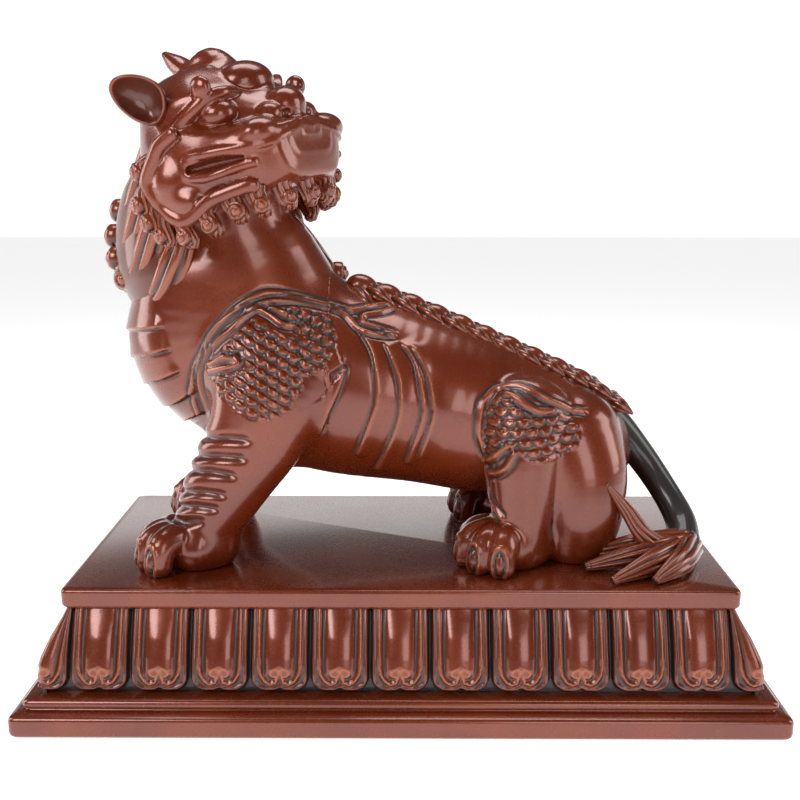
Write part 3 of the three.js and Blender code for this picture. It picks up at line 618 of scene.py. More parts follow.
SHOULDER_BANDS = [
    [(-72.3, 21.2, 98.5), (-74.1, 21.4, 105.6), (-73.2, 22.6, 115), (-69.8, 27, 123.3), (-64.6, 28, 131.6),
     (-58.2, 28, 138.5), (-50.5, 25.8, 143), (-45.1, 25, 144), (-34.7, 22.2, 142), (-24.1, 18.7, 138.6),
     (-17.3, 17.7, 136.8), (-9.2, 11.5, 137.6), (-2.3, 7, 136.6)],
    [(-68.6, 25, 101.1), (-69.9, 23.6, 115.1), (-66.3, 27.3, 124), (-61.5, 26.6, 132.1), (-54.4, 27.3, 138.3),
     (-47.7, 26.8, 140.9), (-41.2, 25.3, 141.6), (-31.5, 20.3, 138.6), (-21.4, 19.1, 135.3), (-15, 24, 132),
     (-11, 23.1, 128.9), (-5.6, 22.2, 128.1), (-0.8, 22.1, 128.8)],
    [(-2.3, 8.6, 136.1), (-7.7, 15.5, 135.9), (-13.2, 18.2, 135.2), (-13.8, 20.6, 132.7), (-9, 21.2, 130.4),
     (-2.1, 22.1, 129.5)],
    [(-47.8, 26.4, 139.5), (-44.5, 26.7, 136.9), (-39.7, 27.5, 134.2), (-35.6, 29.1, 132.4), (-34.2, 29.9, 130.2)],
    [(-65, 28, 124.5), (-58.3, 30, 130.2), (-51.2, 26.5, 137), (-47, 27.5, 135.5), (-42, 30, 131.6),
     (-38, 30, 131.5), (-34.8, 31.2, 129.6)],
    [(-66.5, 28, 120.5), (-64.7, 29.7, 119.6), (-60.5, 33, 122), (-57.2, 35.6, 122.4), (-55.4, 36.5, 120.8),
     (-59, 34, 119), (-66.8, 28.4, 117.3)]]
HIP_BANDS = [
    [(37.1, 38.6, 64.8), (34.1, 34.8, 69.2), (31.8, 29, 75.3), (28.8, 30.4, 88.3), (27.9, 29.2, 96.4),
     (28.3, 27.8, 102.2), (30.2, 28.4, 107.3), (34.2, 26, 110), (37.8, 27.2, 111.3), (42, 28.6, 111.2),
     (47.1, 31, 109.1), (52.5, 31, 106.4), (59.8, 29, 103.9), (66.3, 27.4, 101.3)],
    [(35.5, 29.3, 109.7), (39.2, 30.6, 108.3), (43.8, 33, 105.6), (48.1, 33.5, 103.5), (54, 31.5, 103.4)],
    [(30.9, 28.5, 85), (33.4, 33.6, 86.8), (35.3, 35.5, 89.5), (37.3, 37, 91.7), (40.4, 38, 91.6)],
    [(31.9, 31, 80.9), (35.4, 36, 82.5), (37.9, 38, 85.3), (39.4, 38.2, 88.6), (40.6, 38.2, 91)]]
RIBS = [[(-16, 23.5, 131.4), (-11, 27.4, 124.2), (-9.3, 29.6, 116), (-9.1, 32, 108), (-11, 32, 101), (-17.3, 26.6, 84)],
        [(-6.9, 25.5, 127.9), (-3.4, 28.1, 120), (-1, 29.9, 111.7), (-1.8, 30.5, 99), (-10.7, 20, 78.5)],
        [(-0.6, 24.8, 127.8), (4.3, 27, 119.9), (6.4, 30, 111.3), (7.1, 31.7, 101.1), (0.6, 25.8, 80.5)],
        [(2.2, 22.9, 124.9), (7.8, 27.5, 117.8), (10.2, 29.4, 108.9), (10.6, 31, 100.7), (5.5, 27, 84)]]
ELBOW = [(-30.2, 32.2, 114.3), (-25.6, 31.5, 116.3), (-20.9, 29.7, 118.6), (-19.2, 30, 117.7),
         (-21.6, 31, 110.5), (-25.8, 30.7, 102.7), (-30.8, 28.2, 94.5)]
LEG_CREASES = [(-50.2, 95.1, -61, 95.4, -67), (-51.7, 88.7, -64.1, 88.9, -70.5), (-55.3, 82.2, -66.2, 83.4, -73),
               (-59, 75.5, -70.5, 76.1, -77), (-62, 70.4, -73.7, 70.8, -80), (-67.2, 66.2, -74.9, 65.2, -83)]
PLATE_EDGES = [(-82.2, 19, 123.4, -94, 119), (-79.3, 19.5, 115.8, -91, 110.5), (-74.4, 21.3, 108.4, -86, 103.5),
               (-71.4, 20, 100.4, -80, 96.5), (-84.5, 18, 131, -95, 127.5)]
SHOULDER_FIELDS = [
    [(-43.8, 139.5), (-38.7, 140.6), (-30.9, 138.1), (-23.5, 134.7), (-22, 127.4), (-25.3, 120.3),
     (-30.2, 116.2), (-35.1, 117), (-37, 124), (-33.8, 130.6), (-37, 133.6), (-41.1, 136.5)],
    [(-64.4, 123), (-58.3, 129.8), (-51.2, 136.8), (-45, 134.3), (-40.7, 130.8), (-34.8, 130),
     (-32.8, 123.9), (-34.1, 117), (-45.5, 115.4), (-52.1, 119.9), (-54.8, 122.9), (-60.8, 122.8)],
    [(-67.2, 116.5), (-58.4, 118), (-52.1, 120.6), (-44.2, 117.7), (-33.9, 117.3), (-33.3, 112.5),
     (-36.6, 109.3), (-37.9, 104.8), (-45.5, 101.8), (-52.1, 102.1), (-58, 105.6), (-63.2, 109.3)]]
THIGH_FIELD = [(30, 86.5), (29, 93.4), (29.7, 102.9), (35, 108.8), (39.2, 108.3), (43.8, 104.6), (48.6, 102.5),
               (54.7, 103.7), (60.3, 101.5), (63.9, 96.8), (62.6, 91), (56.8, 87.5), (51.3, 85.9), (45.8, 86.3),
               (41, 89.7), (37.3, 92.2), (33.4, 88.7)]


def within(x, z, corners):
    """Where places lie inside a polygon, by the even-odd rule, as 1 or 0, and how far from its edge."""
    odd = np.zeros(len(x), bool)
    for (ax, az), (bx, bz) in zip(corners, corners[1:] + corners[:1]):
        spans = (az > z) != (bz > z)
        odd ^= spans & (x < (bx - ax) * (z - az) / (bz - az + 1e-9) + ax)
    edge, _ = nearness(np.stack([x, z], -1), np.array(corners + corners[:1], float))
    return odd * smooth_step(edge, 0.1, 0.9)


class Relief:
    """Low relief on a skin: how far each point is raised, how dark it is for patina and painted shade,
    and how light for wear and a painted highlight.
    """

    def __init__(self, field, points, side):
        self.field = field
        self.points = points
        self.side = side
        self.height, self.hollow, self.rubbed = np.zeros((3, len(points)))

    def settled(self, line):
        """A curve through a line's points, moved onto the skin of this side."""
        path = smooth_path(line, 4) * (1, self.side, 1)
        for _ in range(3):
            slope = self.field.slope(path)
            move = self.field.at(path) / np.maximum((slope ** 2).sum(1), 0.2)
            path = path - slope * np.clip(move, -2, 2)[:, None]
        return path

    def near(self, path, reach):
        """The points by a path, their distance from it and place along it, and the path's length."""
        low, high = path.min(0) - reach, path.max(0) + reach
        chosen = np.flatnonzero(((self.points > low) & (self.points < high)).all(1))
        away, place = nearness(self.points[chosen], path)
        return chosen, away, place, np.linalg.norm(np.diff(path, axis=0), axis=1).sum()

    def lay(self, chosen, height, hollow, rubbed):
        self.height[chosen] += height
        self.hollow[chosen] = np.maximum(self.hollow[chosen], hollow)
        self.rubbed[chosen] = np.maximum(self.rubbed[chosen], rubbed)

    def cord(self, line, half, height, patina_and_shade=0.9):
        """A raised cord: a bell across the line, with a narrow moat at both its sides, dark with patina and
        painted shade, and a painted highlight with the wear on its top.
        """
        chosen, away, place, length = self.near(self.settled(line), 3.5 * half)
        fade = smooth_step(place, -0.1, 2 * half) * smooth_step(length - place, -0.1, 2 * half)
        bump = np.exp(-(away / half) ** 2) * fade
        moat = np.exp(-((away - 1.9 * half) / (0.55 * half)) ** 2) * fade
        self.lay(chosen, height * (bump - 0.45 * moat), patina_and_shade * moat, 0.7 * bump ** 3)

    def groove(self, line, half, depth, patina_and_shade=0.8):
        """A groove: a bell across the line, sunk, and dark at its bottom with patina and painted shade."""
        chosen, away, place, length = self.near(self.settled(line), 3 * half)
        fade = smooth_step(place, -0.1, 3 * half) * smooth_step(length - place, -0.1, 3 * half)
        dip = np.exp(-(away / half) ** 2) * fade
        self.lay(chosen, -depth * dip, patina_and_shade * dip ** 1.5, 0)

    def ledge(self, line, way, height, reach, patina_and_shade=0.8):
        """A step along the line: raised on the side that way points to, sloping back off from there."""
        path = self.settled(line)
        chosen, away, place, length = self.near(path, 3 * reach)
        run = np.concatenate([[0], np.cumsum(np.linalg.norm(np.diff(path, axis=0), axis=1))])
        foot = np.stack([np.interp(place, run, path[:, axis]) for axis in range(3)], -1)
        aside = ((self.points[chosen] - foot) * way).sum(1)
        fade = smooth_step(place, -0.1, 4.0) * smooth_step(length - place, -0.1, 4.0)
        raised = smooth_step(aside, -0.35, 0.45) * np.exp(-(away / reach) ** 1.5) * fade
        # Dark at the step's foot for patina and painted shade; light on its crest for wear and a painted highlight.
        dark = np.exp(-((aside + 0.45) / 0.6) ** 2) * np.exp(-(away / 1.6) ** 2) * fade
        crest = np.exp(-((aside - 0.9) / 0.7) ** 2) * np.exp(-(away / 2.0) ** 2) * fade
        self.lay(chosen, height * raised - 0.35 * height * dark, patina_and_shade * dark, 0.6 * crest)

    def scales(self, corners, lean, wide, pitch, reach=(-60, 60)):
        """Scales in rows across a polygon of (x, z). Each is a disc whose free edge, the way lean turns
        it from straight down, lies over the next row: high inside the edge, low beyond it, where patina
        and painted shade darken it; the edge itself gets wear with a painted highlight."""
        x, y, z = self.points.T
        cover = np.zeros(len(x))
        box = np.array(corners)
        chosen = np.flatnonzero((x > box[:, 0].min()) & (x < box[:, 0].max()) & (z > box[:, 1].min())
                                & (z < box[:, 1].max()) & (np.abs(y) > 14))
        x, z = x[chosen], z[chosen]
        cover = within(x, z, corners)
        across = x * math.cos(lean) + z * math.sin(lean)
        down = x * math.sin(lean) - z * math.cos(lean)
        row = np.floor(down / pitch)
        shift = (row % 2) * wide / 2
        off = (across - shift + wide / 2) % wide - wide / 2
        inner = wide * 0.515 - np.hypot(off, down - row * pitch)
        edge = smooth_step(inner, -0.12, 0.3)
        beyond = np.exp(-(inner / 0.42) ** 2) * (inner < 0.25)
        rise = 0.28 * (1 - (off / wide * 1.7) ** 2) * edge
        slope = np.where(inner > 0, (down - row * pitch) / pitch * 0.25, 0.0)
        height = (0.22 * edge + rise + slope - 0.42 * (1 - edge) * np.exp(np.minimum(inner, 0) / 1.6)) * cover
        self.lay(chosen, height, np.clip(1.15 * beyond, 0, 1) * cover, 0.45 * edge * (inner < 1.2) * cover)


def body_relief(relief):
    """The relief of one side of the body: bands, scales, ribs, creases, plates and nails."""
    for line in SHOULDER_BANDS:
        relief.cord(line, 0.95, 1.0)
    for line in HIP_BANDS:
        relief.cord(line, 1.0, 0.9)
    for line in RIBS:
        relief.ledge(line, (1, 0, 0), 1.25, 4.2)
    relief.ledge(ELBOW, (-1, 0, -0.3), 1.4, 4.5)
    for outer_x, outer_z, x, z, front in LEG_CREASES:
        line = [(outer_x, 41.6, outer_z), (x, 40, z), (front, 31, z - 2.4), (x + 1, 20, z - 1.5), (outer_x, 17, z)]
        relief.groove(line, 1.5, 1.5, patina_and_shade=0.5)
    for x, y, z, front, low in PLATE_EDGES:
        relief.ledge([(x + 2, y + 2.5, z + 1.2), (x - 5, y * 0.62, (z + low) / 2 + 0.4), (front, 0.2, low)], (0, 0, 1), 1.5, 4.6)
    for corners in SHOULDER_FIELDS:
        relief.scales(corners, math.radians(-32), 4.6, 3.3)
    relief.scales(THIGH_FIELD, math.radians(4), 5.0, 3.5)
    for centre, turns, reach in PAWS:
        for turn in turns:
            way = np.array([*compass(turn, 1, (0, 0)), 0]) * (1, relief.side, 1)
            tip = np.array([*compass(turn, reach * 0.97, centre), 52.6]) * (1, relief.side, 1)
            chosen = np.flatnonzero(np.linalg.norm(relief.points - tip, axis=1) < 7)
            off = relief.points[chosen] - tip
            ahead = smooth_step(off @ way, -4.5, -2.5)
            ring = np.hypot(off @ np.cross(way, (0, 0, 1)) / 2.1, off[:, 2] / 4.6)
            # The moat round each nail dark with patina and painted shade, its rim light with wear and a painted
            # highlight.
            rim = np.exp(-((ring - 1.3) / 0.24) ** 2) * ahead
            moat = np.exp(-((ring - 0.95) / 0.17) ** 2) * ahead
            nail = np.clip(1 - ring, 0, 1) * ahead
            relief.lay(chosen, 0.55 * rim - 0.55 * moat + 0.7 * nail, 0.95 * moat, 0.5 * rim)


def sunk_seams(points, low, high):
    """How far a block's skin is drawn in near the block's cut sides, so that its edge is buried."""
    margin = np.min([points[:, 0] - low[0], high[0] - points[:, 0], points[:, 1] - low[1], high[1] - points[:, 1]], 0)
    return 0.5 * (1 - smooth_step(margin, 0.3, 0.8))


beast_copper = copper("beast_copper", 1.0)
for name, low, high, step in BODY_BLOCKS:
    field = body_field(low, high, step)
    points, quads = field.skin()
    relief = Relief(field, points, 1 if name == "far_side" else -1)
    body_relief(relief)
    outwards = field.slope(points)
    outwards /= np.maximum(np.linalg.norm(outwards, axis=1), 0.2)[:, None]
    height = np.where(points[:, 2] < SOLE + 0.2, 0, relief.height - sunk_seams(points, low, high))
    points = points + outwards * height[:, None]
    piece = mesh_piece(name, [(points, quads, [])], beast_copper, hollow=relief.hollow, rubbed=relief.rubbed)
    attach(piece, "root")
    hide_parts("diting")
    print(name, len(quads) * 2)

# Head: part of the same casting, turned back over the left shoulder. It is worked out in its own axes
# (forwards, sideways to the beast's left, up), its features raised on its skin afterwards.
HEAD_AT = np.array([-67.6, -5, 201.6])
HEAD_TURN, HEAD_TILT, HEAD_ROLL = math.radians(32.5), math.radians(12), math.radians(4)
HEAD_BLOCK = ((-27, -47, -46), (48, 47, 38), 0.55)
HEAD_MIDDLE = -6.0
HEAD_ENDS = (-24.0, 43.0)
HEAD_SECTIONS = [
    (-20, (0, 9), (8, 8), (14, 3), (16, -4), (16, -11), (12, -18), (6, -21), (0, -22)),
    (-11, (0, 19), (13, 17), (22, 10), (26, 0), (29, -11), (28, -21), (16, -28), (0, -28)),
    (0, (0, 21), (16, 18.5), (27, 11), (29.5, 2), (34, -8), (34.5, -20), (26, -31), (0, -30)),
    (10, (0, 20), (15, 18), (28, 9), (29.5, 1), (32.5, -5), (33, -20), (26, -31), (0, -29)),
    (19, (0, 16), (12, 13), (24, 8), (24, -1), (30, -6), (31, -18), (24, -28.5), (0, -28)),
    (26, (0, 7), (10, 6), (16, 2), (19, -3), (27.5, -6.5), (29.5, -15), (22, -28), (0, -27.5)),
    (34, (0, 2), (7, 1), (14, -4), (20, -4.5), (25.5, -9), (25.5, -17), (19, -27), (0, -27)),
    (40, (0, -5), (6, -6), (11, -6.5), (15.5, -7.5), (18.5, -11), (18, -18), (13, -24.5), (0, -25))]
HORN = [(12.5, 0, 16.5, 7.5, 4.6), (6, 0, 20.8, 6.4, 6), (-3, 0, 20.4, 5.6, 4.2), (-9.5, 0, 25, 4, 3.4),
        (-14, 0, 29.6, 1.8, 1.4)]
BROW = [(10, 29.6, -1, 2.0, 2.2), (16, 28, 2.5, 2.2, 2.4), (20.5, 25.5, 5.4, 2.2, 2.4), (24, 20, 7, 2.2, 2.2),
        (24, 13, 7.2, 1.8, 1.8)]
JAW_RIM = [(10.8, 33.6, -3.1), (7.3, 34.6, -4.7), (4.5, 35.2, -6.3), (2, 35.4, -9), (-1.1, 35.6, -12.2),
           (-3.9, 35.6, -15.6), (-4, 35.2, -19), (-3.2, 34.8, -22), (-1.4, 33.8, -25.4), (1.8, 33.6, -29.3),
           (4.6, 33.1, -31.2), (7.4, 32.6, -31.5), (10.9, 32.2, -30.5), (14.7, 31.8, -28.6), (19.2, 31, -26.8),
           (23.3, 29.2, -26.1), (27.3, 27.4, -25.5), (30.5, 25.6, -25.2), (32.1, 24, -25.9)]
UPPER_LIP = [(10.9, 32, -15.8), (12.2, 32, -13.2), (14.1, 31.4, -11.9), (20.5, 31.4, -12.3), (25.6, 29.6, -12.5),
             (30.6, 27.2, -12.9), (35.3, 24.2, -13), (38.9, 19.7, -12.7), (40.9, 14.1, -11.1), (41.4, 8.6, -9.7),
             (41.4, 3.7, -8.5), (41.4, 0, -9.2)]
LOWER_LIP = [(10.9, 32, -15.8), (11.8, 32.2, -17.8), (13.8, 31.8, -18.9), (20.1, 31.6, -19.8), (24.3, 30.4, -19.5),
             (28.1, 28.1, -18.8), (31.9, 25.6, -18.4), (34.2, 24.4, -18.4)]


def head_axes():
    """The head's forwards, sideways and upwards directions, as rows."""
    turn, tilt, roll = HEAD_TURN, HEAD_TILT, HEAD_ROLL
    ahead = np.array([math.cos(turn) * math.cos(tilt), -math.sin(turn) * math.cos(tilt), math.sin(tilt)])
    level = np.array([-math.sin(turn), -math.cos(turn), 0])
    upright = np.cross(level, ahead)
    return np.stack([ahead, level * math.cos(roll) - upright * math.sin(roll),
                     upright * math.cos(roll) + level * math.sin(roll)])


HEAD_AXES = head_axes()


def on_head(points):
    """Places in the world of points given in the head's own axes."""
    return HEAD_AT + np.asarray(points, float) @ HEAD_AXES


def egg(field, centre, half, blend=2.0, cut=False):
    """Unites an ellipsoid with a field, or cuts it out."""
    centre, half = np.array(centre, float), np.array(half, float)
    part, places = field.window(centre - half - blend - 2, centre + half + blend + 2)
    off = [(place - middle) / size for place, middle, size in zip(places, centre, half)]
    near = np.sqrt(sum(part * part for part in off) + 1e-6)
    slope = np.sqrt(sum((part / size) ** 2 for part, size in zip(off, half)) + 1e-6 / half.min() ** 2)
    form = (near * (near - 1) / slope).astype(np.float32)
    if cut:
        field.value[part] = np.maximum(field.value[part], -form)
    else:
        field.join(part, form, blend)


def head_block(field):
    """The block of skull, cheeks, muzzle and jaws: a radius round a line through the head, a smooth
    function of the place forwards and the turn, closed as half an ellipse at each end."""
    turns = np.linspace(-np.pi, np.pi, 121)
    table = []
    for forwards, *half in HEAD_SECTIONS:
        narrow = 0.92 if forwards > 30 else 1.0
        loop = half + [(-narrow * s, u) for s, u in half[-2:0:-1]]
        ring = smooth_path(loop * 3, 6)[6 * len(loop):12 * len(loop)]
        turn = np.arctan2(ring[:, 0], ring[:, 1] - HEAD_MIDDLE)
        radius = np.interp(turns, turn, np.hypot(ring[:, 0], ring[:, 1] - HEAD_MIDDLE), period=2 * np.pi)
        table.append([forwards, *radius])
    table = smooth_path(table, 8)
    part, (x, y, z) = field.window(np.array(field.low), np.array([99, 99, 99]))
    row = np.interp(x.ravel(), table[:, 0], np.arange(len(table)))
    low = np.minimum(row.astype(int), len(table) - 2)
    radii = table[low, 1:] + (row - low)[:, None] * (table[low + 1, 1:] - table[low, 1:])
    first, last = HEAD_ENDS
    back = np.clip((table[0, 0] - x.ravel()) / (table[0, 0] - first), 0, 1)
    ahead = np.clip((x.ravel() - table[-1, 0]) / (last - table[-1, 0]), 0, 1)
    radii *= np.sqrt(1 - np.maximum(back, ahead) ** 2)[:, None]
    turn = (np.arctan2(y, z - HEAD_MIDDLE) + np.pi) / (2 * np.pi) * 120
    column = np.minimum(turn.astype(int), 119)[0]
    share = turn[0] - column
    radius = radii[:, column] * (1 - share) + radii[:, column + 1] * share
    form = 0.85 * (np.hypot(y, z - HEAD_MIDDLE) - radius)
    field.value = np.maximum(form, np.maximum(x - last, first - x)).astype(np.float32)


def head_field():
    """The head's block with its horn, brows, nose, eyes, jaw rim and lips flowing into it."""
    field = Field(*HEAD_BLOCK)
    head_block(field)
    field.limb(HORN, 2, across=(0, 1, 0))
    egg(field, (18, 0, 11), (10.5, 11.4, 8.0), 1.0)
    field.limb([(24, 0, 4, 8, 5), (30, 0, 2.6, 6, 4), (34, 0, 0.6, 7, 5.6)], 3)
    egg(field, (34, 0, -0.4), (6.6, 7.6, 5.8), 2)
    for side in (-1, 1):
        egg(field, (33.6, 9.4 * side, -2.9), (4.6, 5.0, 4.0), 1.6)
        egg(field, (38.8, 6.2 * side, -3.6), (2.2, 2.0, 1.8), 0.1, cut=True)
        egg(field, (34.5, 17 * side, -9), (6.6, 9.5, 5.6), 2.5)
        egg(field, (20.5, 20 * side, 0.2), (6.6, 6.6, 5.4), 1.0)
        egg(field, (20.6, 26 * side, 9.4), (4.2, 2.6, 4.0), 0.8)
        egg(field, (2.5, 29 * side, -19), (8.0, 7.5, 9.5), 3)
        egg(field, (8, 31 * side, -26), (6.0, 4.0, 4.5), 3)
        field.limb(mirrored(BROW, side), 1.0, across=(0, side, 0))
        narrow = 1.0 if side == 1 else 0.97
        for line, half in ((JAW_RIM, (1.9, 2.6)), (UPPER_LIP, (1.5, 1.7)), (LOWER_LIP, (1.5, 1.6))):
            field.limb([(f, s * side * narrow, u, *half) for f, s, u in line], 0.6, across=(0, side, 0), steps=3)
        slot = [(13.6, 33 * side, -15.9, 3.4, 1.3), (24, 30 * side, -15.9, 3.4, 1.7), (32, 27 * side, -16.2, 3, 0.9)]
        hole = Field(*HEAD_BLOCK)
        hole.limb(slot, 0.1, across=(0, 1, 0))
        field.value = np.maximum(field.value, -hole.value)
    egg(field, (33, 0, -20.5), (8.6, 17.5, 6.6), 2.5)
    return field


head = head_field()
points, quads = head.skin()
skull = mesh_piece("head", [(on_head(points), quads, [])], beast_copper)
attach(skull, "root")
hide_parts("diting")

# Ears: cupped leaves of the same casting with a thick rolled rim, open to the front.
EAR_EDGE = [(-1.4, 42, 17.7), (2.6, 40.2, 18.2), (6.6, 37, 16.8), (9.2, 33.4, 13.6), (9.2, 31.4, 9.6),
            (6.6, 30.4, 4.6), (2.0, 31.2, 1.8), (-1.8, 35.4, 4.2), (-4.2, 39.4, 9.4), (-4.0, 42, 14.8)]
EAR_FACING = (0.53, 0.85, -0.05)
EAR_PROFILE = [(0, -5.4), (0.25, -5.0), (0.5, -4.0), (0.7, -2.6), (0.84, -1.0), (0.9, 0.3), (0.96, 0.75),
               (1.02, 0.3), (1.05, -0.7), (1.02, -2.0), (0.92, -4.2), (0.75, -6.6), (0.5, -8.4), (0.25, -9.2), (0, -9.6)]


def ear(side):
    """A cup: a profile of (share of the way out, depth behind the rim) carried round the ear's edge."""
    loop = smooth_path(EAR_EDGE * 3, 5)[5 * len(EAR_EDGE):10 * len(EAR_EDGE)]
    middle = loop.mean(0)
    rings = [middle + max(out, 0.02) * (loop - middle) + depth * np.array(EAR_FACING) for out, depth in EAR_PROFILE]
    points = np.concatenate(rings) * (1, side, 1)
    count = len(loop)
    caps = [np.arange(count)[::-1], np.arange(count) + (len(rings) - 1) * count]
    # The inside of the cup darkened: patina with painted shade.
    hollow = np.concatenate([np.full(count, 0.35 if k < 5 else 0.0) for k in range(len(rings))])
    return (on_head(points), grid_faces(len(rings), count, True), caps), hollow


def show(name, shells, hollow, rubbed):
    """A piece of the beast: its mesh and what it stands for."""
    piece = mesh_piece(name, shells, beast_copper, hollow=np.concatenate(hollow), rubbed=np.concatenate(rubbed))
    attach(piece, "root")
    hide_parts("diting")


ears = [ear(1), ear(-1)]
show("ears", [shell for shell, _ in ears], [patina_and_shade for _, patina_and_shade in ears], [0 * patina_and_shade for _, patina_and_shade in ears])

# Mane and beard: locks of the same casting. Each is a bundle of grooved strands combed back and down,
# its end rolled up to a ball with a spiral round it.
MANE = [(-68.5, 6, 197, 24, 20), (-74, 8, 183, 26, 22.5), (-80, 6, 168, 25, 25.5), (-79, 2, 152, 25, 25.5),
        (-74, 0, 142, 20, 21)]
NAPE = [(-66, 8, 180, 20, 22), (-58, 10, 165, 21, 18.5), (-47, 9, 152, 17, 17.5), (-34, 4, 145, 9, 12)]
LOCKS = [[(-76, -22, 164), (-80, -22, 153), (-86, -17, 142.5), (-92.7, -10, 140)],
         [(-84, -22, 172), (-89, -18, 158), (-95, -10, 147), (-101.9, -2, 144)],
         [(-88, -17, 180), (-93, -13, 166), (-99, -4, 154), (-107.3, 6, 151)],
         [(-89, -12, 188), (-94, -7, 175), (-100, 0, 163), (-108.5, 10, 159.3)],
         [(-88, -6, 196), (-93, 0, 184), (-99, 6, 173), (-107, 14, 168.5)]]
LOCK_BALLS = [(-92.7, -12, 143.5), (-101.9, -4, 147.5), (-107.3, 4, 154.3), (-108.5, 8, 162.3), (-107, 12, 171.5)]
FAR_LOCKS = [[(-88, 18, 190), (-93, 22, 176), (-95, 23, 164), (-94, 22, 157)],
             [(-78, 28, 186), (-80, 32, 170), (-80, 32, 156), (-79, 29, 149)],
             [(-62, 31, 184), (-62, 33, 168), (-61, 31, 156), (-60, 29, 149)],
             [(-48, 24, 182), (-45, 27, 168), (-43, 26, 158), (-42, 24, 151)],
             [(-50, 6, 172), (-42, 6, 164), (-34, 7, 155.5), (-26, 8, 149)]]
FAR_BALLS = [(-94, 25, 157), (-79, 30, 148.5), (-60, 30, 148.5), (-42, 25, 150.5), (-23.5, 8, 148.2)]
BEARD = [(-6.8, 33.0, -12), (-8.4, 34.5, -23), (-6.8, 34, -29.5), (-3.4, 32.5, -34.5), (5.3, 31, -36.7),
         (15, 29, -34.8), (24.5, 26, -32.4), (30.5, 21, -32), (34.3, 11.5, -31), (35, 0, -30.8)]
RIM_UNDER = [(-1, 32, -9), (-3, 32, -16), (-3, 31, -21), (0, 31, -26), (6, 30, -29), (15, 29, -27.5),
             (24, 26, -25.5), (31, 22, -25), (35, 14, -25), (36.4, 2, -25)]


def ends_closed(points, rings, sides):
    caps = [np.arange(sides)[::-1], np.arange(sides) + (rings - 1) * sides]
    return points.reshape(-1, 3), grid_faces(rings, sides, True), caps


def lock(stations, strands=7, sides=42, steps=7, depth=0.26, across=(0, 1, 0)):
    """A bundle of strands along a curve: an ellipse across it, its radius 1 - depth (1 - sqrt|sin|) so
    that round strands meet in sharp grooves. Returns the shell, the grooves' darkening for patina and
    painted shade, and the crests' lightening for wear and a painted highlight."""
    path = smooth_path(stations, steps)
    ahead = np.gradient(path[:, :3], axis=0)
    ahead /= np.linalg.norm(ahead, axis=1)[:, None]
    wide = np.array(across) - ahead * (ahead @ np.array(across))[:, None]
    wide /= np.linalg.norm(wide, axis=1)[:, None]
    deep = np.cross(ahead, wide)
    turn = np.linspace(0, 2 * np.pi, sides, endpoint=False)
    wave = np.abs(np.sin(turn * strands / 2)) ** 0.6
    grow = 1 - depth * (1 - wave)
    ring = path[:, None, :3] + (path[:, 3:4] * grow * np.cos(turn))[:, :, None] * wide[:, None]
    ring = ring + (path[:, 4:5] * grow * np.sin(turn))[:, :, None] * deep[:, None]
    # Patina with painted shade in the grooves between strands; wear with a painted highlight on their crests.
    patina_and_shade = np.broadcast_to(np.clip(1.15 - 1.7 * wave, 0, 1), ring.shape[:2])
    rub = np.broadcast_to(np.clip(3 * wave - 2.2, 0, 1) * 0.6, ring.shape[:2])
    return ends_closed(ring, len(path), sides), patina_and_shade.ravel(), rub.ravel()


def curl(centre, facing, towards, radius, lift=0.8, turns=1.6, hand=1, sides=40, rings=13):
    """A rolled-up end: a dome over a disc, with a ridge that winds in to a ball at its middle. The ridge
    is |sin| of the spiral's phase, the share of the way out times its turns less the angle's share."""
    facing = unit(np.array(facing, float))
    first = np.array(towards, float)
    first = unit(first - facing * (first @ facing))
    second = np.cross(facing, first) * hand
    out = np.concatenate([np.linspace(0.05, 1, rings), [1.02, 0.9]])[:, None]
    turn = np.linspace(0, 2 * np.pi, sides, endpoint=False)[None, :]
    phase = (out - 0.3) / 0.7 * turns - turn / (2 * np.pi)
    ridge = np.abs(np.sin(np.pi * phase)) ** 0.7
    ball = np.sqrt(np.clip(1 - (out / 0.36) ** 2, 0, 1))
    ridge = np.where(out < 0.36, 0.25 + 1.1 * ball, ridge)
    dome = np.sqrt(np.clip(1 - (0.93 * np.minimum(out, 1)) ** 2, 0, 1))
    height = lift * radius * dome + 0.2 * radius * ridge * (out < 1.01) - radius * 0.75 * (out < 0.95) * (out > 0.85)
    height[-2:] = [[0.1 * radius], [-0.5 * radius]]
    height[:-2] = (lift * radius * dome + 0.2 * radius * ridge)[:-2]
    offset = out * np.cos(turn)
    aside = out * np.sin(turn)
    points = np.array(centre, float) + radius * (offset[..., None] * first + aside[..., None] * second)
    points = points + (height + 0 * turn)[..., None] * facing
    # Patina with painted shade between the ridge's turns; wear with a painted highlight on the ridge.
    patina_and_shade = np.clip(1.0 - 1.6 * ridge, 0, 1)
    rub = np.clip(2 * ridge - 1.1, 0, 1) * 0.5
    return ends_closed(points, len(out), sides), (patina_and_shade + 0 * turn).ravel(), (rub + 0 * turn).ravel()


def head_way(forwards, sideways, up):
    """A direction given in the head's own axes."""
    return np.array([forwards, sideways, up]) @ HEAD_AXES


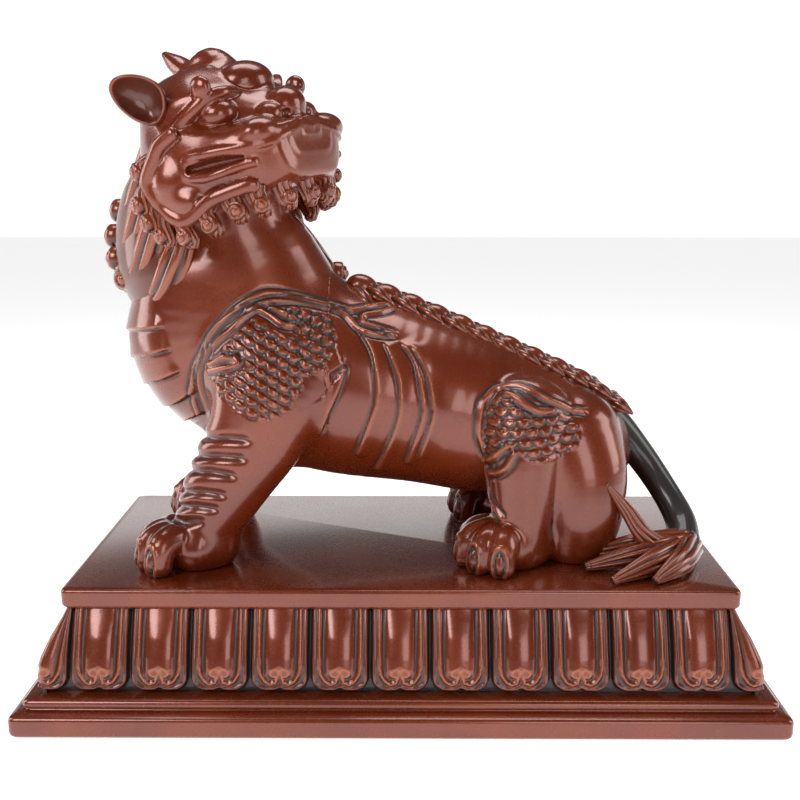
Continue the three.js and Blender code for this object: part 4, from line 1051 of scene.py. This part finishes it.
mane_field = Field((-112, -40, 130), (-20, 42, 216), 0.9)
mane_field.limb(MANE, 1, steps=8)
mane_field.limb(NAPE, 6, steps=8)
points, quads = mane_field.skin()
# The mass under the locks darkened all over: painted shade, with the patina of its hollows.
show("mane_mass", [(points, quads, [])], [np.full(len(points), 0.3)], [np.zeros(len(points))])
parts = []
for line, ball in zip(LOCKS + FAR_LOCKS, LOCK_BALLS + FAR_BALLS):
    sizes = [(3.4, 5.4), (4.2, 6.4), (4.4, 5.4), (2.2, 2.2)]
    parts.append(lock([(*spot, *size) for spot, size in zip(line, sizes)]))
    middle = np.array([-76, 4, ball[2]])
    outwards = unit(np.array(ball) - middle) if ball[1] > 0 else np.array([-0.35, -0.93, 0.05])
    parts.append(curl(np.array(ball) - 1.5 * outwards, outwards, (0, 0, 1), 4.6, lift=0.85))
for side in (1, -1):
    for root, tip in zip(RIM_UNDER, BEARD):
        near = 1.0 if side == 1 else 0.86
        root, tip = np.array(root) * (1, side * near, 1), np.array(tip) * (1, side * near, 1)
        if side == -1 and abs(tip[1]) < 1:
            continue
        out = unit(np.array([tip[0] - 12, tip[1], 0]) + 1e-6)
        middle = (root + tip) / 2 + out * 1.2 + (-1.2, 0, 0)
        line = [(*root, 3.6, 3.0), (*middle, 3.8, 2.8), (*(tip + (0.8, 0, -2.2)), 3.2, 2.4), (*(tip + (-1.5, 0, -2.6)), 1.6, 1.6)]
        world = [(*on_head(spot[:3]), *spot[3:]) for spot in line]
        along = np.cross(out, (0, 0, 1)) @ HEAD_AXES
        parts.append(lock(world, strands=8, sides=40, steps=5, across=along))
        parts.append(curl(on_head(tip + out * 1.2), out @ HEAD_AXES, head_way(0.3, 0, 1), 3.3, hand=side))
show("mane_and_beard", *zip(*parts))

# Crest and tail: the row of knobs down the spine, the flames combed down from them, and the tail,
# which drops to the plate and fans out in tufts. All of it belongs to the same casting.
SPINE = [(-19, 0, 149.3), (5.9, 0, 139.5), (37, 0, 126), (67, 0, 112), (79, 0, 103)]
KNOBS = 11
TAIL = [(72, 0, 97, 9, 8), (80.5, 0, 92.5, 6.6, 6.6), (91, -2, 80.3, 5.6, 5.6), (99.3, -8, 68.2, 5.2, 5.2),
        (104, -16, 58.8, 5.6, 5.6), (103.4, -25, 52.5, 6.6, 6.2)]
TAIL_TUFTS = [[(104, -26, 53, 6, 5), (84, -31, 53.5, 4.6, 4.4), (64, -31, 50, 1.4, 1.4)],
              [(104, -27, 52, 6, 5), (86, -37, 52.5, 5, 4.4), (65, -42, 49.5, 1.4, 1.4)],
              [(104, -28, 52, 6, 5), (90, -43, 52, 5, 4.4), (72.5, -55, 49, 1.4, 1.4)],
              [(105, -28, 52, 6, 5), (98, -44, 52, 5, 4.4), (87, -55, 49, 1.4, 1.4)],
              [(94, -31, 52, 5, 4), (87, -35, 58.6, 3.6, 3.6), (80.6, -35, 67.8, 2.6, 2.8), (72.8, -35.5, 78, 0.8, 0.8)]]


def knob(middle, ahead, half):
    """One knob of the crest: an egg laid along the spine, its rear end lifted over the next."""
    turn = np.linspace(0, 2 * np.pi, 20, endpoint=False)[None, :]
    rise = np.linspace(0.02, 0.98, 14)[:, None] * np.pi
    side = np.array([0.0, 1.0, 0.0])
    up = np.cross(ahead, side) * -1
    shape = [-np.cos(rise) + 0 * turn, np.sin(rise) * np.cos(turn), np.sin(rise) * np.sin(turn)]
    points = np.array(middle) + sum(part[..., None] * size * way for part, size, way in zip(shape, half, (ahead, side, up)))
    zeros = np.zeros(points.shape[0] * points.shape[1])
    # The knob lightened a little all over: wear with a painted highlight.
    return ends_closed(points, 14, 20), zeros, zeros + 0.15


parts = []
spine = smooth_path(SPINE, 40)
length = np.concatenate([[0], np.cumsum(np.linalg.norm(np.diff(spine, axis=0), axis=1))])
for k in range(KNOBS):
    middle = [np.interp((k + 0.5) / KNOBS * length[-1], length, spine[:, axis]) for axis in range(3)]
    after = [np.interp((k + 0.7) / KNOBS * length[-1], length, spine[:, axis]) for axis in range(3)]
    ahead = unit(np.array(after) - middle)
    parts.append(knob(np.array(middle) + (0, 0, -3.4), ahead, (6.2, 4.8, 4.6)))
    for side in (-1, 1):
        for shift, tip in ((-2.5, (8, 12.5, -12)), (2.6, (8.5, 9, -8.5))):
            root = np.array(middle) + (shift, 2.5 * side, -4.5)
            end = np.array(middle) + (shift + tip[0], tip[1] * side, tip[2])
            bend = (root + end) / 2 + (-0.5, 1.6 * side, 1.0)
            line = [(*root, 3.2, 2.6), (*bend, 3.0, 2.2), (*end, 0.5, 0.5)]
            parts.append(lock(line, strands=6, sides=30, steps=6, across=(0.8, 0, 0.6)))
parts.append(lock(TAIL, strands=0, sides=28, steps=6, depth=0.0))
for tuft in TAIL_TUFTS:
    parts.append(lock(tuft, strands=9, sides=54, steps=9, across=(0, 0, 1)))
show("crest_and_tail", *zip(*parts))
